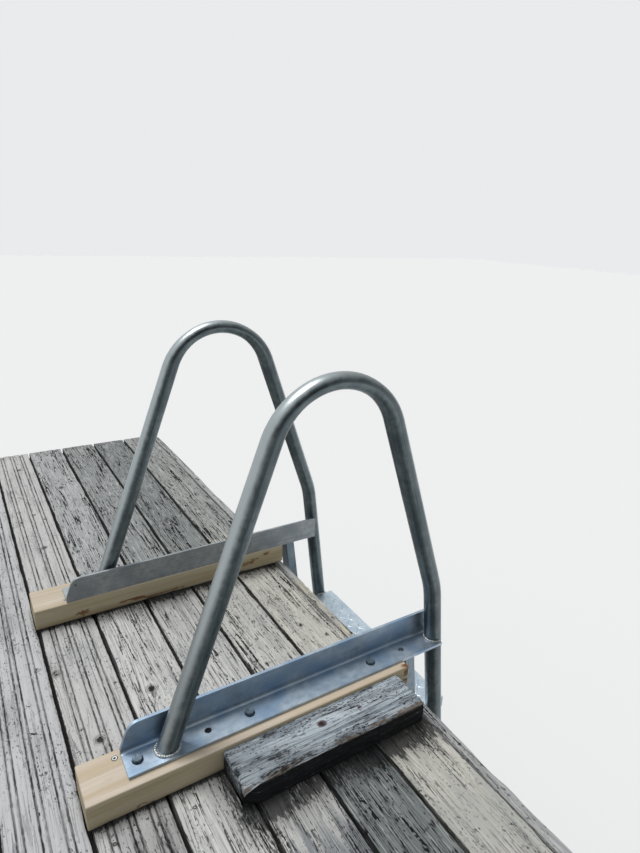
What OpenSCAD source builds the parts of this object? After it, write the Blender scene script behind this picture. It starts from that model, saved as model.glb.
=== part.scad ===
// Timber jetty on posts with a bent-tube swimming ladder on one side.
// X runs across the deck towards the ladder, Y along it towards the outer end, Z up.
// The origin is the centre of the shore end's joist, on its outer face.

/* [Deck boards] */
// Width of one deck board
board_w = 120; // [95:1:145]
// Thickness of one deck board
board_t = 28; // [22:1:34]
// Gap between neighbouring boards
board_gap = 6; // [3:0.5:10]
// Width of each groove along a board
groove_w = 16; // [14:0.5:18]
// Depth of the grooves
groove_d = 2.5; // [2:0.25:3]
// Spacing of the grooves over a board
groove_pitch = 34; // [30:1:36]
// Width of the low rib along the middle of a groove
rib_w = 3; // [2:0.5:4]
// Height of that rib
rib_h = 1.5; // [0.5:0.25:1.5]
// Worn-off corner along a board's top edges
board_wear = 2.5; // [1:0.5:4]

/* [Edge boards] */
// Thickness of the boards along the two sides
edge_t = 22; // [16:1:30]
// Depth of the edge boards
edge_h = 145; // [110:5:170]
// Gap between the outermost deck board and the edge board
edge_gap = 3; // [1:0.5:6]

/* [Bays] */
// Distance between two rows of posts
bay_len = 1900; // [1500:50:2300]
// Deck length past the first and the last row of posts
end_overhang = 150; // [120:10:250]

/* [Timbers below the deck] */
// Width of a cross joist
joist_w = 45; // [36:1:60]
// Depth of a cross joist
joist_h = 95; // [80:5:120]
// Width of a long stringer
stringer_w = 60; // [45:1:75]
// Depth of a long stringer
stringer_h = 145; // [120:5:195]
// Side of the deck to the middle of the outer stringers and posts
stringer_inset = 230; // [180:10:320]
// Width of a cap beam, along the jetty
cap_w = 100; // [75:5:140]
// Depth of a cap beam
cap_h = 125; // [95:5:150]
// Side of the deck to the end of a cap beam
cap_inset = 70; // [40:5:120]
// Diameter of a post
post_d = 150; // [120:5:200]
// Depth from the top of the deck to the bed that the posts stand on
bed_depth = 1560; // [1300:10:2500]

/* [Ladder packers] */
// Length of a packer across the deck
packer_len = 655; // [500:5:700]
// Width of a packer
packer_w = 90; // [85:1:110]
// Height of a packer
packer_h = 51; // [40:1:75]
// Amount that the shore-side packer sits nearer the middle of the ladder
packer_shift = 11; // [0:1:12]
// Clearance from a bracket's heel to the outer packer's inner side
packer_set_in = 2; // [0:0.5:6]

/* [Ladder brackets] */
// Outer end of the ladder's centre line, from the outer end of the deck
ladder_from_end = 1444; // [900:1:2400]
// Clear distance between the two brackets
bracket_gap = 490; // [400:5:600]
// Leg width of the angle section
angle_leg = 60; // [55:1:70]
// Thickness of the angle section
angle_t = 6; // [4:0.5:8]
// Root radius inside the angle section
angle_root = 6; // [3:0.5:8]
// Length of a bracket
bracket_len = 692; // [660:1:740]
// Length of a bracket past the side of the deck
bracket_out = 109; // [95:1:115]
// Radius of the upright leg's corner on the deck
bracket_corner = 24; // [12:1:30]
// Slope of the upright leg's end on the deck
bracket_slope = 20; // [0:1:25]
// Diameter of the bolt holes
bolt_hole_d = 13; // [11:0.5:14]

/* [Ladder rails] */
// Outer diameter of the bent tube
tube_d = 38; // [34:0.5:42]
// Wall of the bent tube
tube_wall = 2.5; // [1.5:0.25:4]
// Side of the deck to the outer tube's foot on its bracket
foot_in = 493; // [440:1:520]
// Amount that the shore tube is welded on further in over the deck
rail_stagger = 16; // [0:1:24]
// Height of the tube's centre line at its crest, above the deck
crest_h = 685; // [560:5:760]
// Bend radius at the crest, to the tube's centre line
crest_r = 134; // [110:1:160]
// Lean of the two upper legs
upper_lean = 20; // [18:0.5:21]
// Lean of the tube below the elbow
lower_lean = 8; // [6:0.5:10]
// Height above the deck where the elbow begins
elbow_h = 217; // [190:1:260]
// Bend radius of the elbow
elbow_r = 230; // [150:10:300]
// Depth of the tube's lower end below the deck
tube_bottom = 985; // [960:5:1100]

/* [Ladder uprights] */
// Thickness of the inner upright, across the deck
upright_x = 25; // [20:1:30]
// Width of the inner upright, along the deck
upright_y = 40; // [30:1:50]
// Wall of the inner upright
upright_wall = 2.5; // [1.5:0.25:4]
// Side of the deck to the inner upright's outer face, at deck level
upright_out = 48; // [44:1:52]

/* [Ladder steps] */
// Depth of the first step's top below the deck
first_step = 170; // [140:5:200]
// Height from one step to the next
step_rise = 250; // [220:5:255]
// Thickness of the folded step plate
step_t = 4; // [3:0.5:6]
// Height of the step's folded edges
step_lip = 30; // [20:1:40]
// Nose of the step past the middle of the outer tube
step_nose = 35; // [18:1:40]

/* [Loose block] */
// Length of the loose block
block_len = 390; // [250:5:500]
// Width of the loose block
block_w = 92; // [70:1:110]
// Height of the loose block
block_h = 47; // [35:1:60]
// Side of the deck to the block's outer end
block_in = 34; // [10:1:80]
// Worn-off corner along the block's top edge
block_wear = 8; // [3:0.5:12]

/* [Hidden] */
$fn = 64;

board_count = 12;
groove_count = 3;
bay_count = 3;
inner_joist_count = 9;
// Clearance where a metal piece seats against another
seat = 0.3;
// Extra thickness of the tube's section where it is bent
bend_swell = 0.3;
// Length that a straight tube reaches into the bend
bend_grip = 4;
// Amount that a cutting shape reaches past what it cuts
past = 1;
// Bolt holes, measured from the bracket's end on the deck
bolt_places = [22, 149, 232, 513, 596];

deck_len = bay_count * bay_len + 2 * end_overhang;
board_pitch = board_w + board_gap;
boards_w = board_count * board_w + (board_count - 1) * board_gap;
deck_w = boards_w + 2 * (edge_gap + edge_t);
side = deck_w / 2;

deck_top = joist_h / 2 + board_t;
joist_bottom = -joist_h / 2;
stringer_bottom = joist_bottom - stringer_h;
cap_bottom = stringer_bottom - cap_h;
bed = deck_top - bed_depth;
joist_pitch = (deck_len - joist_w) / (inner_joist_count + 1);

ladder_y = deck_len - ladder_from_end;
heel = bracket_gap / 2;
deck_end = bracket_out - bracket_len;
flange_mid = heel + (angle_leg + angle_t) / 2;
tube_r = tube_d / 2;
rail_y = flange_mid;
flange_top = packer_h + angle_t;

// The upright leg slopes from its root and turns over a round corner: X from the bracket's end, Z from the packer
slope_z = angle_t + angle_root;
corner_z = angle_leg - bracket_corner;
corner_x = (bracket_corner + (corner_z - slope_z) * sin(bracket_slope)) / cos(bracket_slope);
slope_end = [corner_x - bracket_corner * cos(bracket_slope), corner_z + bracket_corner * sin(bracket_slope)];

// Points of the tube's centre line: X from the side of the deck, Z from its top
arc_z = crest_h - crest_r;
left_end = [-foot_in, flange_top];
left_top_z = arc_z + crest_r * sin(upper_lean);
left_top = [left_end.x + (left_top_z - left_end.y) * tan(upper_lean), left_top_z];
crest = [left_top.x + crest_r * cos(upper_lean), arc_z];
right_top = [crest.x + crest_r * cos(upper_lean), left_top_z];
elbow_top = [right_top.x + (left_top_z - elbow_h) * tan(upper_lean), elbow_h];
elbow_mid = [elbow_top.x - elbow_r * cos(upper_lean), elbow_h - elbow_r * sin(upper_lean)];
elbow_low = [elbow_mid.x + elbow_r * cos(lower_lean), elbow_mid.y + elbow_r * sin(lower_lean)];
rail_end = [lower_x(-tube_bottom), -tube_bottom];

function lower_x(z) = elbow_low.x + (elbow_low.y - z) * tan(lower_lean);
function upright_face(z) = upright_out - z * tan(lower_lean);
function step_z(i) = -first_step - (i - 1) * step_rise;
function bent_y(i) = end_overhang + (i - 1) * bay_len;

// Moves to the ladder's centre line on the side of the deck, at the height of its top
module at_ladder() translate([side, ladder_y, deck_top]) children();

// Keeps a piece on the outer side of the ladder, or mirrors it to the shore side
module on_side(outer) mirror([0, outer ? 0 : 1, 0]) children();

// Stands a shape drawn along a rail's centre line in that rail's plane
module rail_plane(outer) translate([outer ? 0 : -rail_stagger, rail_y, 0]) rotate([90, 0, 0]) children();

module board_profile() {
    difference() {
        polygon([
            [0, 0], [board_w, 0], [board_w, board_t - board_wear],
            [board_w - board_wear, board_t], [board_wear, board_t], [0, board_t - board_wear]
        ]);
        for (i = [1 : groove_count])
            translate([board_w / 2 + (i - (groove_count + 1) / 2) * groove_pitch, board_t])
                polygon([
                    [-groove_w / 2, past], [-groove_w / 2, 0], [-groove_w / 2 + groove_d, -groove_d],
                    [-rib_w / 2 - rib_h, -groove_d], [-rib_w / 2, rib_h - groove_d],
                    [rib_w / 2, rib_h - groove_d], [rib_w / 2 + rib_h, -groove_d],
                    [groove_w / 2 - groove_d, -groove_d], [groove_w / 2, 0], [groove_w / 2, past]
                ]);
    }
}

module deck_board(i) {
    color("#a9aaa8")
        translate([-boards_w / 2 + (i - 1) * board_pitch, deck_len, deck_top - board_t])
            rotate([90, 0, 0]) linear_extrude(deck_len) board_profile();
}

module edge_board(x) {
    color("#b5b2a6") translate([x, 0, deck_top - edge_h]) cube([edge_t, deck_len, edge_h]);
}

module joist(y) {
    color("#77736a")
        translate([-side + edge_t, y, joist_bottom]) cube([deck_w - 2 * edge_t, joist_w, joist_h]);
}

module inner_joists() {
    for (i = [1 : inner_joist_count]) joist(i * joist_pitch);
}

module stringer(x) {
    color("#6f6a5f")
        translate([x - stringer_w / 2, 0, stringer_bottom]) cube([stringer_w, deck_len, stringer_h]);
}

module cap_beam(i) {
    color("#645d51")
        translate([-side + cap_inset, bent_y(i) - cap_w / 2, cap_bottom])
            cube([deck_w - 2 * cap_inset, cap_w, cap_h]);
}

module post(i, x) {
    color("#5a5246") translate([x, bent_y(i), bed]) cylinder(d = post_d, h = cap_bottom - bed);
}

module ladder_packer(outer) {
    inner = outer ? heel - packer_set_in : heel - packer_set_in - packer_shift;
    color("#cdb892")
        at_ladder() on_side(outer) translate([-packer_len, inner, 0]) cube([packer_len, packer_w, packer_h]);
}

// Section of the bent tube, fuller by swell in a bend
module tube_section(swell) difference() {
    circle(tube_r + swell);
    circle(tube_r - tube_wall - swell);
}

// Turns a shape that rises along Z to run from p to q in the plane of the bend
module along(p, q) translate(p) rotate([0, 0, atan2(q.y - p.y, q.x - p.x)]) rotate([0, 90, 0]) children();

// A straight length from p to q, whose ends reach into the bends by the lengths a and b
module tube_run(p, q, a, b)
    along(p, q) translate([0, 0, -a]) linear_extrude(norm(q - p) + a + b) tube_section(0);

// One bend round c, from the angle a over the angle turn
module tube_bend(c, bend_r, a, turn)
    translate(c) rotate([0, 0, a]) rotate_extrude(angle = turn) translate([bend_r, 0]) tube_section(bend_swell);

module ladder_rail(outer) {
    color("#8b9290") at_ladder() on_side(outer) difference() {
        rail_plane(outer) {
            tube_run(left_end, left_top, tube_d, bend_grip);
            tube_bend(crest, crest_r, upper_lean, 180 - 2 * upper_lean);
            tube_run(right_top, elbow_top, bend_grip, bend_grip);
            tube_bend(elbow_mid, elbow_r, lower_lean, upper_lean - lower_lean);
            tube_run(elbow_low, rail_end, bend_grip, 0);
        }
        // The foot is cut level, to stand on the bracket
        translate([-foot_in - rail_stagger - 2 * tube_d, rail_y - tube_d, flange_top - 2 * tube_d])
            cube([4 * tube_d + rail_stagger, 2 * tube_d, 2 * tube_d]);
    }
}

module angle_profile() {
    square([angle_leg, angle_t]);
    square([angle_t, angle_leg]);
    translate([angle_t, angle_t]) difference() {
        square(angle_root);
        translate([angle_root, angle_root]) circle(angle_root);
    }
}

module ladder_bracket(outer) {
    color("#8f9ba6") at_ladder() on_side(outer) difference() {
        translate([deck_end, heel, packer_h])
            rotate([90, 0, 90]) linear_extrude(bracket_len) angle_profile();
        // Sloped end and rounded corner of the upright leg
        translate([deck_end, heel + angle_t + past, packer_h]) rotate([90, 0, 0])
            linear_extrude(angle_t + 2 * past) difference() {
                polygon([
                    [-past, slope_z], [0, slope_z], slope_end, [corner_x, corner_z],
                    [corner_x, angle_leg + past], [-past, angle_leg + past]
                ]);
                translate([corner_x, corner_z]) circle(bracket_corner);
            }
        for (place = bolt_places)
            translate([deck_end + place, flange_mid, packer_h - past])
                cylinder(d = bolt_hole_d, h = angle_t + 2 * past);
        // The flange is notched round the tube
        rail_plane(outer) along(elbow_low, rail_end) cylinder(r = tube_r + seat, h = elbow_low.y);
    }
}

module ladder_upright(outer) {
    top = packer_h - seat;
    length = tube_bottom + top;
    color("#7e8a92") at_ladder() on_side(outer) difference() {
        translate([upright_face(top), heel + angle_t, top]) rotate([0, -lower_lean, 0])
            translate([-upright_x, 0, -length / cos(lower_lean)]) difference() {
                cube([upright_x, upright_y, length / cos(lower_lean) + upright_x]);
                translate([upright_wall, upright_wall, -past])
                    cube([
                        upright_x - 2 * upright_wall, upright_y - 2 * upright_wall,
                        length / cos(lower_lean) + upright_x + 2 * past
                    ]);
            }
        translate([0, heel, top]) cube([upright_out + upright_x, upright_y + 2 * angle_t, 2 * upright_x]);
    }
}

module ladder_step(i) {
    top = step_z(i);
    low = top - step_lip;
    back = upright_face(low) + seat;
    front = lower_x(top) + step_nose;
    width = 2 * (rail_y - tube_r - seat);
    color("#c3d3e0") at_ladder() translate([back, -width / 2, low]) difference() {
        cube([front - back, width, step_lip]);
        translate([step_t, -past, -past])
            cube([front - back - 2 * step_t, width + 2 * past, step_lip - step_t + past]);
    }
}

module loose_block() {
    inner = heel - packer_set_in - packer_shift;
    color("#8c9194") at_ladder()
        translate([-block_in - block_len, -inner - packer_w - seat - block_w, 0])
            rotate([90, 0, 90]) linear_extrude(block_len) polygon([
                [0, 0], [block_w, 0], [block_w, block_h],
                [block_wear, block_h], [0, block_h - block_wear]
            ]);
}

post_x = side - stringer_inset;

deck_board(1);  // deck_board_01
deck_board(2);  // deck_board_02
deck_board(3);  // deck_board_03
deck_board(4);  // deck_board_04
deck_board(5);  // deck_board_05
deck_board(6);  // deck_board_06
deck_board(7);  // deck_board_07
deck_board(8);  // deck_board_08
deck_board(9);  // deck_board_09
deck_board(10);  // deck_board_10
deck_board(11);  // deck_board_11
deck_board(12);  // deck_board_12
edge_board(-side);  // edge_board_open_side
edge_board(side - edge_t);  // edge_board_ladder_side
joist(0);  // end_joist_shore
joist(deck_len - joist_w);  // end_joist_outer
inner_joists();
stringer(-post_x);  // stringer_left
stringer(0);  // stringer_middle
stringer(post_x);  // stringer_right
cap_beam(1);  // cap_beam_1
cap_beam(2);  // cap_beam_2
cap_beam(3);  // cap_beam_3
cap_beam(4);  // cap_beam_4
post(1, -post_x);  // post_1_left
post(1, post_x);  // post_1_right
post(2, -post_x);  // post_2_left
post(2, post_x);  // post_2_right
post(3, -post_x);  // post_3_left
post(3, post_x);  // post_3_right
post(4, -post_x);  // post_4_left
post(4, post_x);  // post_4_right
ladder_packer(false);  // ladder_packer_shore
ladder_packer(true);  // ladder_packer_outer
ladder_bracket(false);  // ladder_bracket_shore
ladder_bracket(true);  // ladder_bracket_outer
ladder_rail(false);  // ladder_rail_shore
ladder_rail(true);  // ladder_rail_outer
ladder_upright(false);  // ladder_upright_shore
ladder_upright(true);  // ladder_upright_outer
ladder_step(1);  // ladder_step_1
ladder_step(2);  // ladder_step_2
ladder_step(3);  // ladder_step_3
ladder_step(4);  // ladder_step_4
loose_block();
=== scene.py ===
import math

import bmesh
import bpy
import numpy as np
from mathutils import Matrix, Vector


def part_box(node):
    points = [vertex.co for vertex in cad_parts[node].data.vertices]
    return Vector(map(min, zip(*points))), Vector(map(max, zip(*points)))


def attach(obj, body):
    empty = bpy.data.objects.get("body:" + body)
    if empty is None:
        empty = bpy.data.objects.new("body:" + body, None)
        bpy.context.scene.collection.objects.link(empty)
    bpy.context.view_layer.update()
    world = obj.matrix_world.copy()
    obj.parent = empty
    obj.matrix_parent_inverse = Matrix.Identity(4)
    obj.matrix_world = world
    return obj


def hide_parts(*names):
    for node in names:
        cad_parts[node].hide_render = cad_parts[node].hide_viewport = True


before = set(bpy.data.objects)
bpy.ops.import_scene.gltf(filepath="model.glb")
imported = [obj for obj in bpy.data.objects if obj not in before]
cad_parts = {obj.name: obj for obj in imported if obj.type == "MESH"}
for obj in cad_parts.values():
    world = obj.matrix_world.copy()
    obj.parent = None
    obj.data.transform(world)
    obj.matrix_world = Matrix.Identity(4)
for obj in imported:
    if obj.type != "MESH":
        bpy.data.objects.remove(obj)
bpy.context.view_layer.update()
print("frame loaded,", len(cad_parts), "nodes")

# Places that the pieces are worked out from, in metres
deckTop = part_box("ladder_packer_outer")[0].z
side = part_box("edge_board_ladder_side")[1].x
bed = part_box("post_1_left")[0].z
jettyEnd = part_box("deck_board_12")[1].y

ladder = {
    "bracketGap": 0.490,
    "legWidth": 0.060,
    "legThickness": 0.006,
    "bracketLength": 0.692,
    "bracketOut": 0.109,     # past the side of the deck
    "boltPlaces": (0.022, 0.232, 0.513),
    "railStagger": 0.016,    # the shore tube is welded on this much further in
    "tubeRadius": 0.019,
    "tubeWall": 0.0025,
    "footIn": 0.493,
    "crestHeight": 0.685,
    "crestRadius": 0.134,
    "upperLean": math.radians(20),
    "lowerLean": math.radians(8),
    "elbowHeight": 0.217,
    "elbowRadius": 0.230,
    "tubeBottom": 0.985,
}
heel = ladder["bracketGap"] / 2
deckEnd = ladder["bracketOut"] - ladder["bracketLength"]
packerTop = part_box("ladder_packer_outer")[1].z
flangeTop = packerTop - deckTop + ladder["legThickness"]
railPlane = heel + (ladder["legWidth"] + ladder["legThickness"]) / 2
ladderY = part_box("ladder_bracket_outer")[0].y - heel
stepBoxes = [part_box(f"ladder_step_{number}") for number in range(1, 5)]


def linear(code):
    # An sRGB hex value as the linear colour that a shader takes
    parts = [int(code[i:i + 2], 16) / 255 for i in (1, 3, 5)]
    return tuple(c / 12.92 if c <= 0.04045 else ((c + 0.055) / 1.055) ** 2.4 for c in parts) + (1.0,)


def feed(tree, node, inputs):
    # Each input takes another node, one of its outputs or a plain value
    for key, value in inputs.items():
        named = [socket for socket in node.inputs if socket.name == key and socket.enabled]
        socket = named[0] if named else node.inputs[key]
        if isinstance(value, bpy.types.Node):
            value = next(output for output in value.outputs if output.enabled)
        if isinstance(value, bpy.types.NodeSocket):
            tree.links.new(value, socket)
        else:
            socket.default_value = value


def add(tree, kind, *inputs, **settings):
    # The inputs come in order, or by name in one dictionary
    made = tree.nodes.new(kind)
    for key, value in settings.items():
        setattr(made, key, value)
    named = inputs and isinstance(inputs[0], dict)
    feed(tree, made, inputs[0] if named else dict(enumerate(inputs)))
    return made


def newMaterial(name):
    made = bpy.data.materials.new(name)
    made.use_nodes = True
    return made, made.node_tree, made.node_tree.nodes["Principled BSDF"]


def newObject(name, data):
    made = bpy.data.objects.new(name, data)
    bpy.context.scene.collection.objects.link(made)
    return made


def newMesh(name, points, faces=(), edges=()):
    mesh = bpy.data.meshes.new(name)
    mesh.from_pydata(points, edges, faces)
    return mesh


def storeRows(mesh, key, rows):
    # One vector or colour at each point
    rows = np.asarray(rows, np.float32)
    kind, field = ("FLOAT_COLOR", "color") if rows.shape[1] == 4 else ("FLOAT_VECTOR", "vector")
    mesh.attributes.new(key, kind, "POINT").data.foreach_set(field, rows.ravel())


def smoothFaces(mesh, sharpAngle=None):
    mesh.polygons.foreach_set("use_smooth", np.ones(len(mesh.polygons), bool))
    if sharpAngle:
        mesh.set_sharp_from_angle(angle=math.radians(sharpAngle))


def freeze(made):
    # The object becomes a plain mesh, as its modifiers have shaped it
    bpy.context.view_layer.update()
    result = bpy.data.meshes.new_from_object(made.evaluated_get(bpy.context.evaluated_depsgraph_get()))
    made.modifiers.clear()
    made.data = result


def finishPiece(made, nodes, material=None):
    if material:
        made.data.materials.clear()
        made.data.materials.append(material)
    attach(made, "root")
    if nodes:
        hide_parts(*nodes)


# Value noise on a lattice, for what the meshes' shapes need
def roughness(points, sizes, seed):
    scaled = points / np.array(sizes)
    cell = np.floor(scaled).astype(np.int64)
    part = scaled - cell
    part = part * part * (3 - 2 * part)
    total = np.zeros(len(points))
    for corner in range(8):
        offset = np.array([corner & 1, corner >> 1 & 1, corner >> 2 & 1])
        place = cell + offset
        code = place[:, 0] * 73856093 ^ place[:, 1] * 19349663 ^ place[:, 2] * 83492791 ^ seed * 2654435761
        code = (code ^ code >> 13) * 1274126177 & 0x7fffffff
        value = (code ^ code >> 16 & 0xffff) % 65536 / 65535
        total += value * np.prod(np.where(offset == 1, part, 1 - part), axis=1)
    return total


def smoothStep(value, low, high):
    t = np.clip((value - low) / (high - low), 0, 1)
    return t * t * (3 - 2 * t)


# Noise whose grains are so many millimetres long in X, Y and Z
def noiseAt(tree, where, sizes, detail=2.0):
    scales = tuple(1000 / size for size in sizes)
    scaled = add(tree, "ShaderNodeVectorMath", where, scales, operation="MULTIPLY")
    return add(tree, "ShaderNodeTexNoise", {"Vector": scaled, "Scale": 1.0, "Detail": detail})


# The product of smooth steps. Each row has a value, the places where its step begins and ends, and
# sometimes a least share.
def stepMask(tree, *rows):
    product = None
    for value, low, high, *least in rows:
        step = add(tree, "ShaderNodeMapRange", {"Value": value, "From Min": low, "From Max": high,
                                                "To Min": least[0] if least else 0.0},
                   interpolation_type="SMOOTHSTEP")
        if product is not None:
            step = add(tree, "ShaderNodeMath", product, step, operation="MULTIPLY")
        product = step
    return product


# One more layer of colour, as strong as the product of its factors
def paint(tree, under, factors, code, blend="MIX"):
    factor = factors[0]
    for other in factors[1:]:
        factor = add(tree, "ShaderNodeMath", factor, other, operation="MULTIPLY")
    return add(tree, "ShaderNodeMix", {"Factor": factor, "A": under, "B": linear(code)},
               data_type="RGBA", blend_type=blend)


def relief(tree, heights):
    # A bump from the sum of heights, each with its depth in millimetres
    total = 0.0
    for value, depth in heights:
        total = add(tree, "ShaderNodeMath", value, depth, total, operation="MULTIPLY_ADD")
    return add(tree, "ShaderNodeBump", {"Height": total, "Distance": 0.001, "Strength": 1.0})


timberMarks = {
    "slowWander": ((1.4, 1.4, 1.5), 1.0),   # grains to a metre, detail
    "quickWander": ((22, 22, 11), 2.0),
    "quickReach": 0.004,
    "ringChange": 120.0,                    # how quickly the years' widths change, to a metre
    "ringUneven": 1.4,
    # Thin lines: the half width of each, as a share of its noise
    "lines": {"crack": 0.016, "thread": 0.020, "scratch": 0.006},
    # What each mask is painted with, from the first layer to the last
    "layers": {"early": "early", "ring": "early", "bright": "bright", "blotch": "blotch", "dash": "crack",
               "speck": "mould", "scratch": "mould", "thread": "crack", "crack": "crack", "groove": "dirtAndShade",
               "knot": "knot", "knotRing": "crack", "knotHeart": "crack", "damp": "stainAndShade", "stainAndShade": "stainAndShade"},
    # These are as strong as the "tone" attribute's alpha says
    "lined": ("early", "ring", "bright", "dash", "thread", "crack"),
    "shares": {"groove": 0.95, "knotRing": 0.85, "damp": 0.5, "stainAndShade": 0.8},
}


# The "grain" attribute gives each point's place from the heart of its log, bent round the knots. The masks
# for colour and relief are all read there: rings, fibres, thin drying lines, specks and scratches.
def timberMasks(tree, size):
    grain = add(tree, "ShaderNodeAttribute", attribute_name="grain").outputs["Vector"]
    bent = grain
    for key, reach in (("slowWander", size["wander"] / 1000), ("quickWander", timberMarks["quickReach"])):
        scales, detail = timberMarks[key]
        drift = add(tree, "ShaderNodeVectorMath", grain, scales, operation="MULTIPLY")
        drift = add(tree, "ShaderNodeTexNoise", {"Vector": drift, "Scale": 1.0, "Detail": detail})
        drift = add(tree, "ShaderNodeVectorMath", drift.outputs["Color"], (-0.5, -0.5, -0.5), operation="ADD")
        drift = add(tree, "ShaderNodeVectorMath", drift, (reach, reach, 0), operation="MULTIPLY")
        bent = add(tree, "ShaderNodeVectorMath", bent, drift, operation="ADD")
    speck, blotch, crack, run = (size[key] for key in ("speck", "blotch", "crack", "crackLength"))
    # Where each noise is read, its size across and along the grain, and its detail
    table = {
        "fine": (grain, speck, speck * 1.9, 2.0), "ragged": (grain, speck * 0.9, speck * 4, 4.0),
        "blotch": (grain, blotch, blotch * 2.6, 4.0), "area": (grain, blotch * 0.5, blotch * 0.6, 2.0),
        "crack": (bent, crack, run, 1.5), "thread": (bent, crack * 0.55, run * 0.8, 1.0),
        "reach": (grain, crack * 3, run * 0.7, 2.0), "scratch": (grain, speck * 13, speck * 9, 1.5),
        "fibre": (bent, size["fibre"], size["fibre"] * 40, 2.0),
        "dash": (bent, size["dash"], size["dash"] * 6, 3.0),
        "streak": (bent, size["streak"], size["streak"] * 45, 3.0),
        "full": (grain, 9, 70, 3.0), "knot": (grain, 9, 9, 2.0),
    }
    noise = {key: noiseAt(tree, where, (across, across, along), detail)
             for key, (where, across, along, detail) in table.items()}
    # How far each point is through its year
    flat = add(tree, "ShaderNodeVectorMath", bent, (1, 1, 0), operation="MULTIPLY")
    radius = add(tree, "ShaderNodeVectorMath", flat, operation="LENGTH")
    years = add(tree, "ShaderNodeMath", radius, timberMarks["ringChange"], operation="MULTIPLY")
    years = add(tree, "ShaderNodeTexNoise", {"W": years, "Scale": 1.0, "Detail": 1.0}, noise_dimensions="1D")
    phase = add(tree, "ShaderNodeMath", radius, 1000 / size["ring"], operation="MULTIPLY")
    phase = add(tree, "ShaderNodeMath", years, timberMarks["ringUneven"], phase, operation="MULTIPLY_ADD")
    year = add(tree, "ShaderNodeMath", phase, operation="FRACT")
    # A thin ragged line runs where its noise passes through a half
    thin = {}
    for key, half in timberMarks["lines"].items():
        off = add(tree, "ShaderNodeMath", noise[key], 0.5, operation="SUBTRACT")
        off = add(tree, "ShaderNodeMath", off, operation="ABSOLUTE")
        off = add(tree, "ShaderNodeMath", noise["fine"], -half * 4.0, off, operation="MULTIPLY_ADD")
        thin[key] = (off, -half * 0.9, -half * 1.4)
    marks = add(tree, "ShaderNodeAttribute", attribute_name="marks")
    stainAndShade, groove, knot = add(tree, "ShaderNodeSeparateColor", marks).outputs
    # Dirt fills the grooves' bottoms to a ragged edge, beside the painted shade on the boards' sides, and the
    # stain and painted shadow run into the fibres in streaks
    raggedDirtAndShade = add(tree, "ShaderNodeMath", noise["ragged"], -1.3, groove, operation="MULTIPLY_ADD")
    raggedStainAndShade = add(tree, "ShaderNodeMath", noise["ragged"], -1.6, stainAndShade, operation="MULTIPLY_ADD")
    # Rings round the knot, broken up by noise
    rings = add(tree, "ShaderNodeMath", noise["knot"], 9.0, operation="MULTIPLY")
    rings = add(tree, "ShaderNodeMath", knot, 30.0, rings, operation="MULTIPLY_ADD")
    rings = add(tree, "ShaderNodeMath", rings, operation="SINE")
    masks = {
        "streak": [(noise["streak"], 0.44, 0.62)],
        "early": [(noise["fibre"], 0.48, 0.68)],
        "ring": [(year, 0.45, 0.9), (year, 1.0, 0.93)],
        "bright": [(noise["fibre"], 0.46, 0.30)],
        "blotch": [(noise["blotch"], 0.52, 0.72)],
        "dash": [(noise["dash"], 0.60, 0.635), (noise["area"], 0.40, 0.58)],
        "speck": [(noise["fine"], size["speckFrom"], size["speckFrom"] + 0.05),
                  (noise["blotch"], 0.41, 0.57)],
        "scratch": [thin["scratch"], (noise["area"], 0.58, 0.64)],
        "thread": [thin["thread"], (noise["reach"], 0.40, 0.48)],
        "crack": [thin["crack"], (noise["reach"], 0.52, 0.58)],
        "groove": [(raggedDirtAndShade, -0.15, 0.30), (noise["full"], 0.30, 0.65, 0.6)],
        "knot": [(knot, 0.0, 0.35)],
        "knotRing": [(rings, 0.45, 0.95), (knot, 0.0, 0.15)],
        # Torn and blackened fibres
        "knotHeart": [(knot, 0.30, 0.60), (noise["ragged"], 0.45, 0.52)],
        "stainAndShade": [(raggedStainAndShade, -0.18, 0.08), (stainAndShade, 0.0, 0.12)],
    }
    made = {key: stepMask(tree, *rows) for key, rows in masks.items()}
    # damp is the unbroken stain channel, with its painted shade and shadow
    return dict(made, fibre=noise["fibre"], damp=stainAndShade)


# Years of sun and rain raise a timber's fibres and leave thin drying lines, specks, scratches and dirt
# The marks attribute brings stains, dirt and painted shade and shadow
def weatheredTimber(name, look):
    made, tree, shader = newMaterial(name)
    masks = timberMasks(tree, look["size"])
    colours, shares = look["colours"], dict(timberMarks["shares"], **look["shares"])
    tone = add(tree, "ShaderNodeAttribute", attribute_name="tone")
    lined = add(tree, "ShaderNodeMath", tone.outputs["Alpha"], 0.72, 0.28, operation="MULTIPLY_ADD")
    colour = paint(tree, tone, [masks["streak"], lined], colours["shade"], "MULTIPLY")
    for key, ink in timberMarks["layers"].items():
        factors = [masks[key], shares[key]] + [lined] * (key in timberMarks["lined"])
        colour = paint(tree, colour, factors, colours[ink])
    bump = relief(tree, [(masks[key], depth) for key, depth in look["relief"].items()])
    feed(tree, shader, {"Base Color": colour, "Roughness": 0.88, "Specular IOR Level": 0.25, "Normal": bump})
    return made


weathered = {
    "size": {"ring": 4.2, "wander": 26, "fibre": 1.5, "streak": 5, "blotch": 55, "speck": 3.4,   # millimetres
             "speckFrom": 0.625, "crack": 15, "crackLength": 420, "dash": 4.2},
    "colours": {"shade": "#ebeced", "early": "#6a6e70", "bright": "#e4e5e2", "blotch": "#84878a",
                "mould": "#24282a", "crack": "#131516", "dirtAndShade": "#131516", "knot": "#77746c",
                "stainAndShade": "#141617"},
    "shares": {"early": 0.36, "ring": 0.10, "bright": 0.26, "blotch": 0.34, "dash": 0.75, "speck": 0.85,
               "scratch": 0.75, "thread": 0.8, "crack": 0.95, "knot": 0.35, "knotHeart": 0.9},
    "relief": {"fibre": 0.55, "ring": -0.25, "crack": -1.6, "thread": -0.6, "speck": -0.3},   # millimetres
}
# The deck's wood: silver-grey with dark dashes and lines along the grain, black dirt in its grooves and
# painted shade at its sides
weatheredMaterial = weatheredTimber("weathered silver softwood", weathered)


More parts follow.
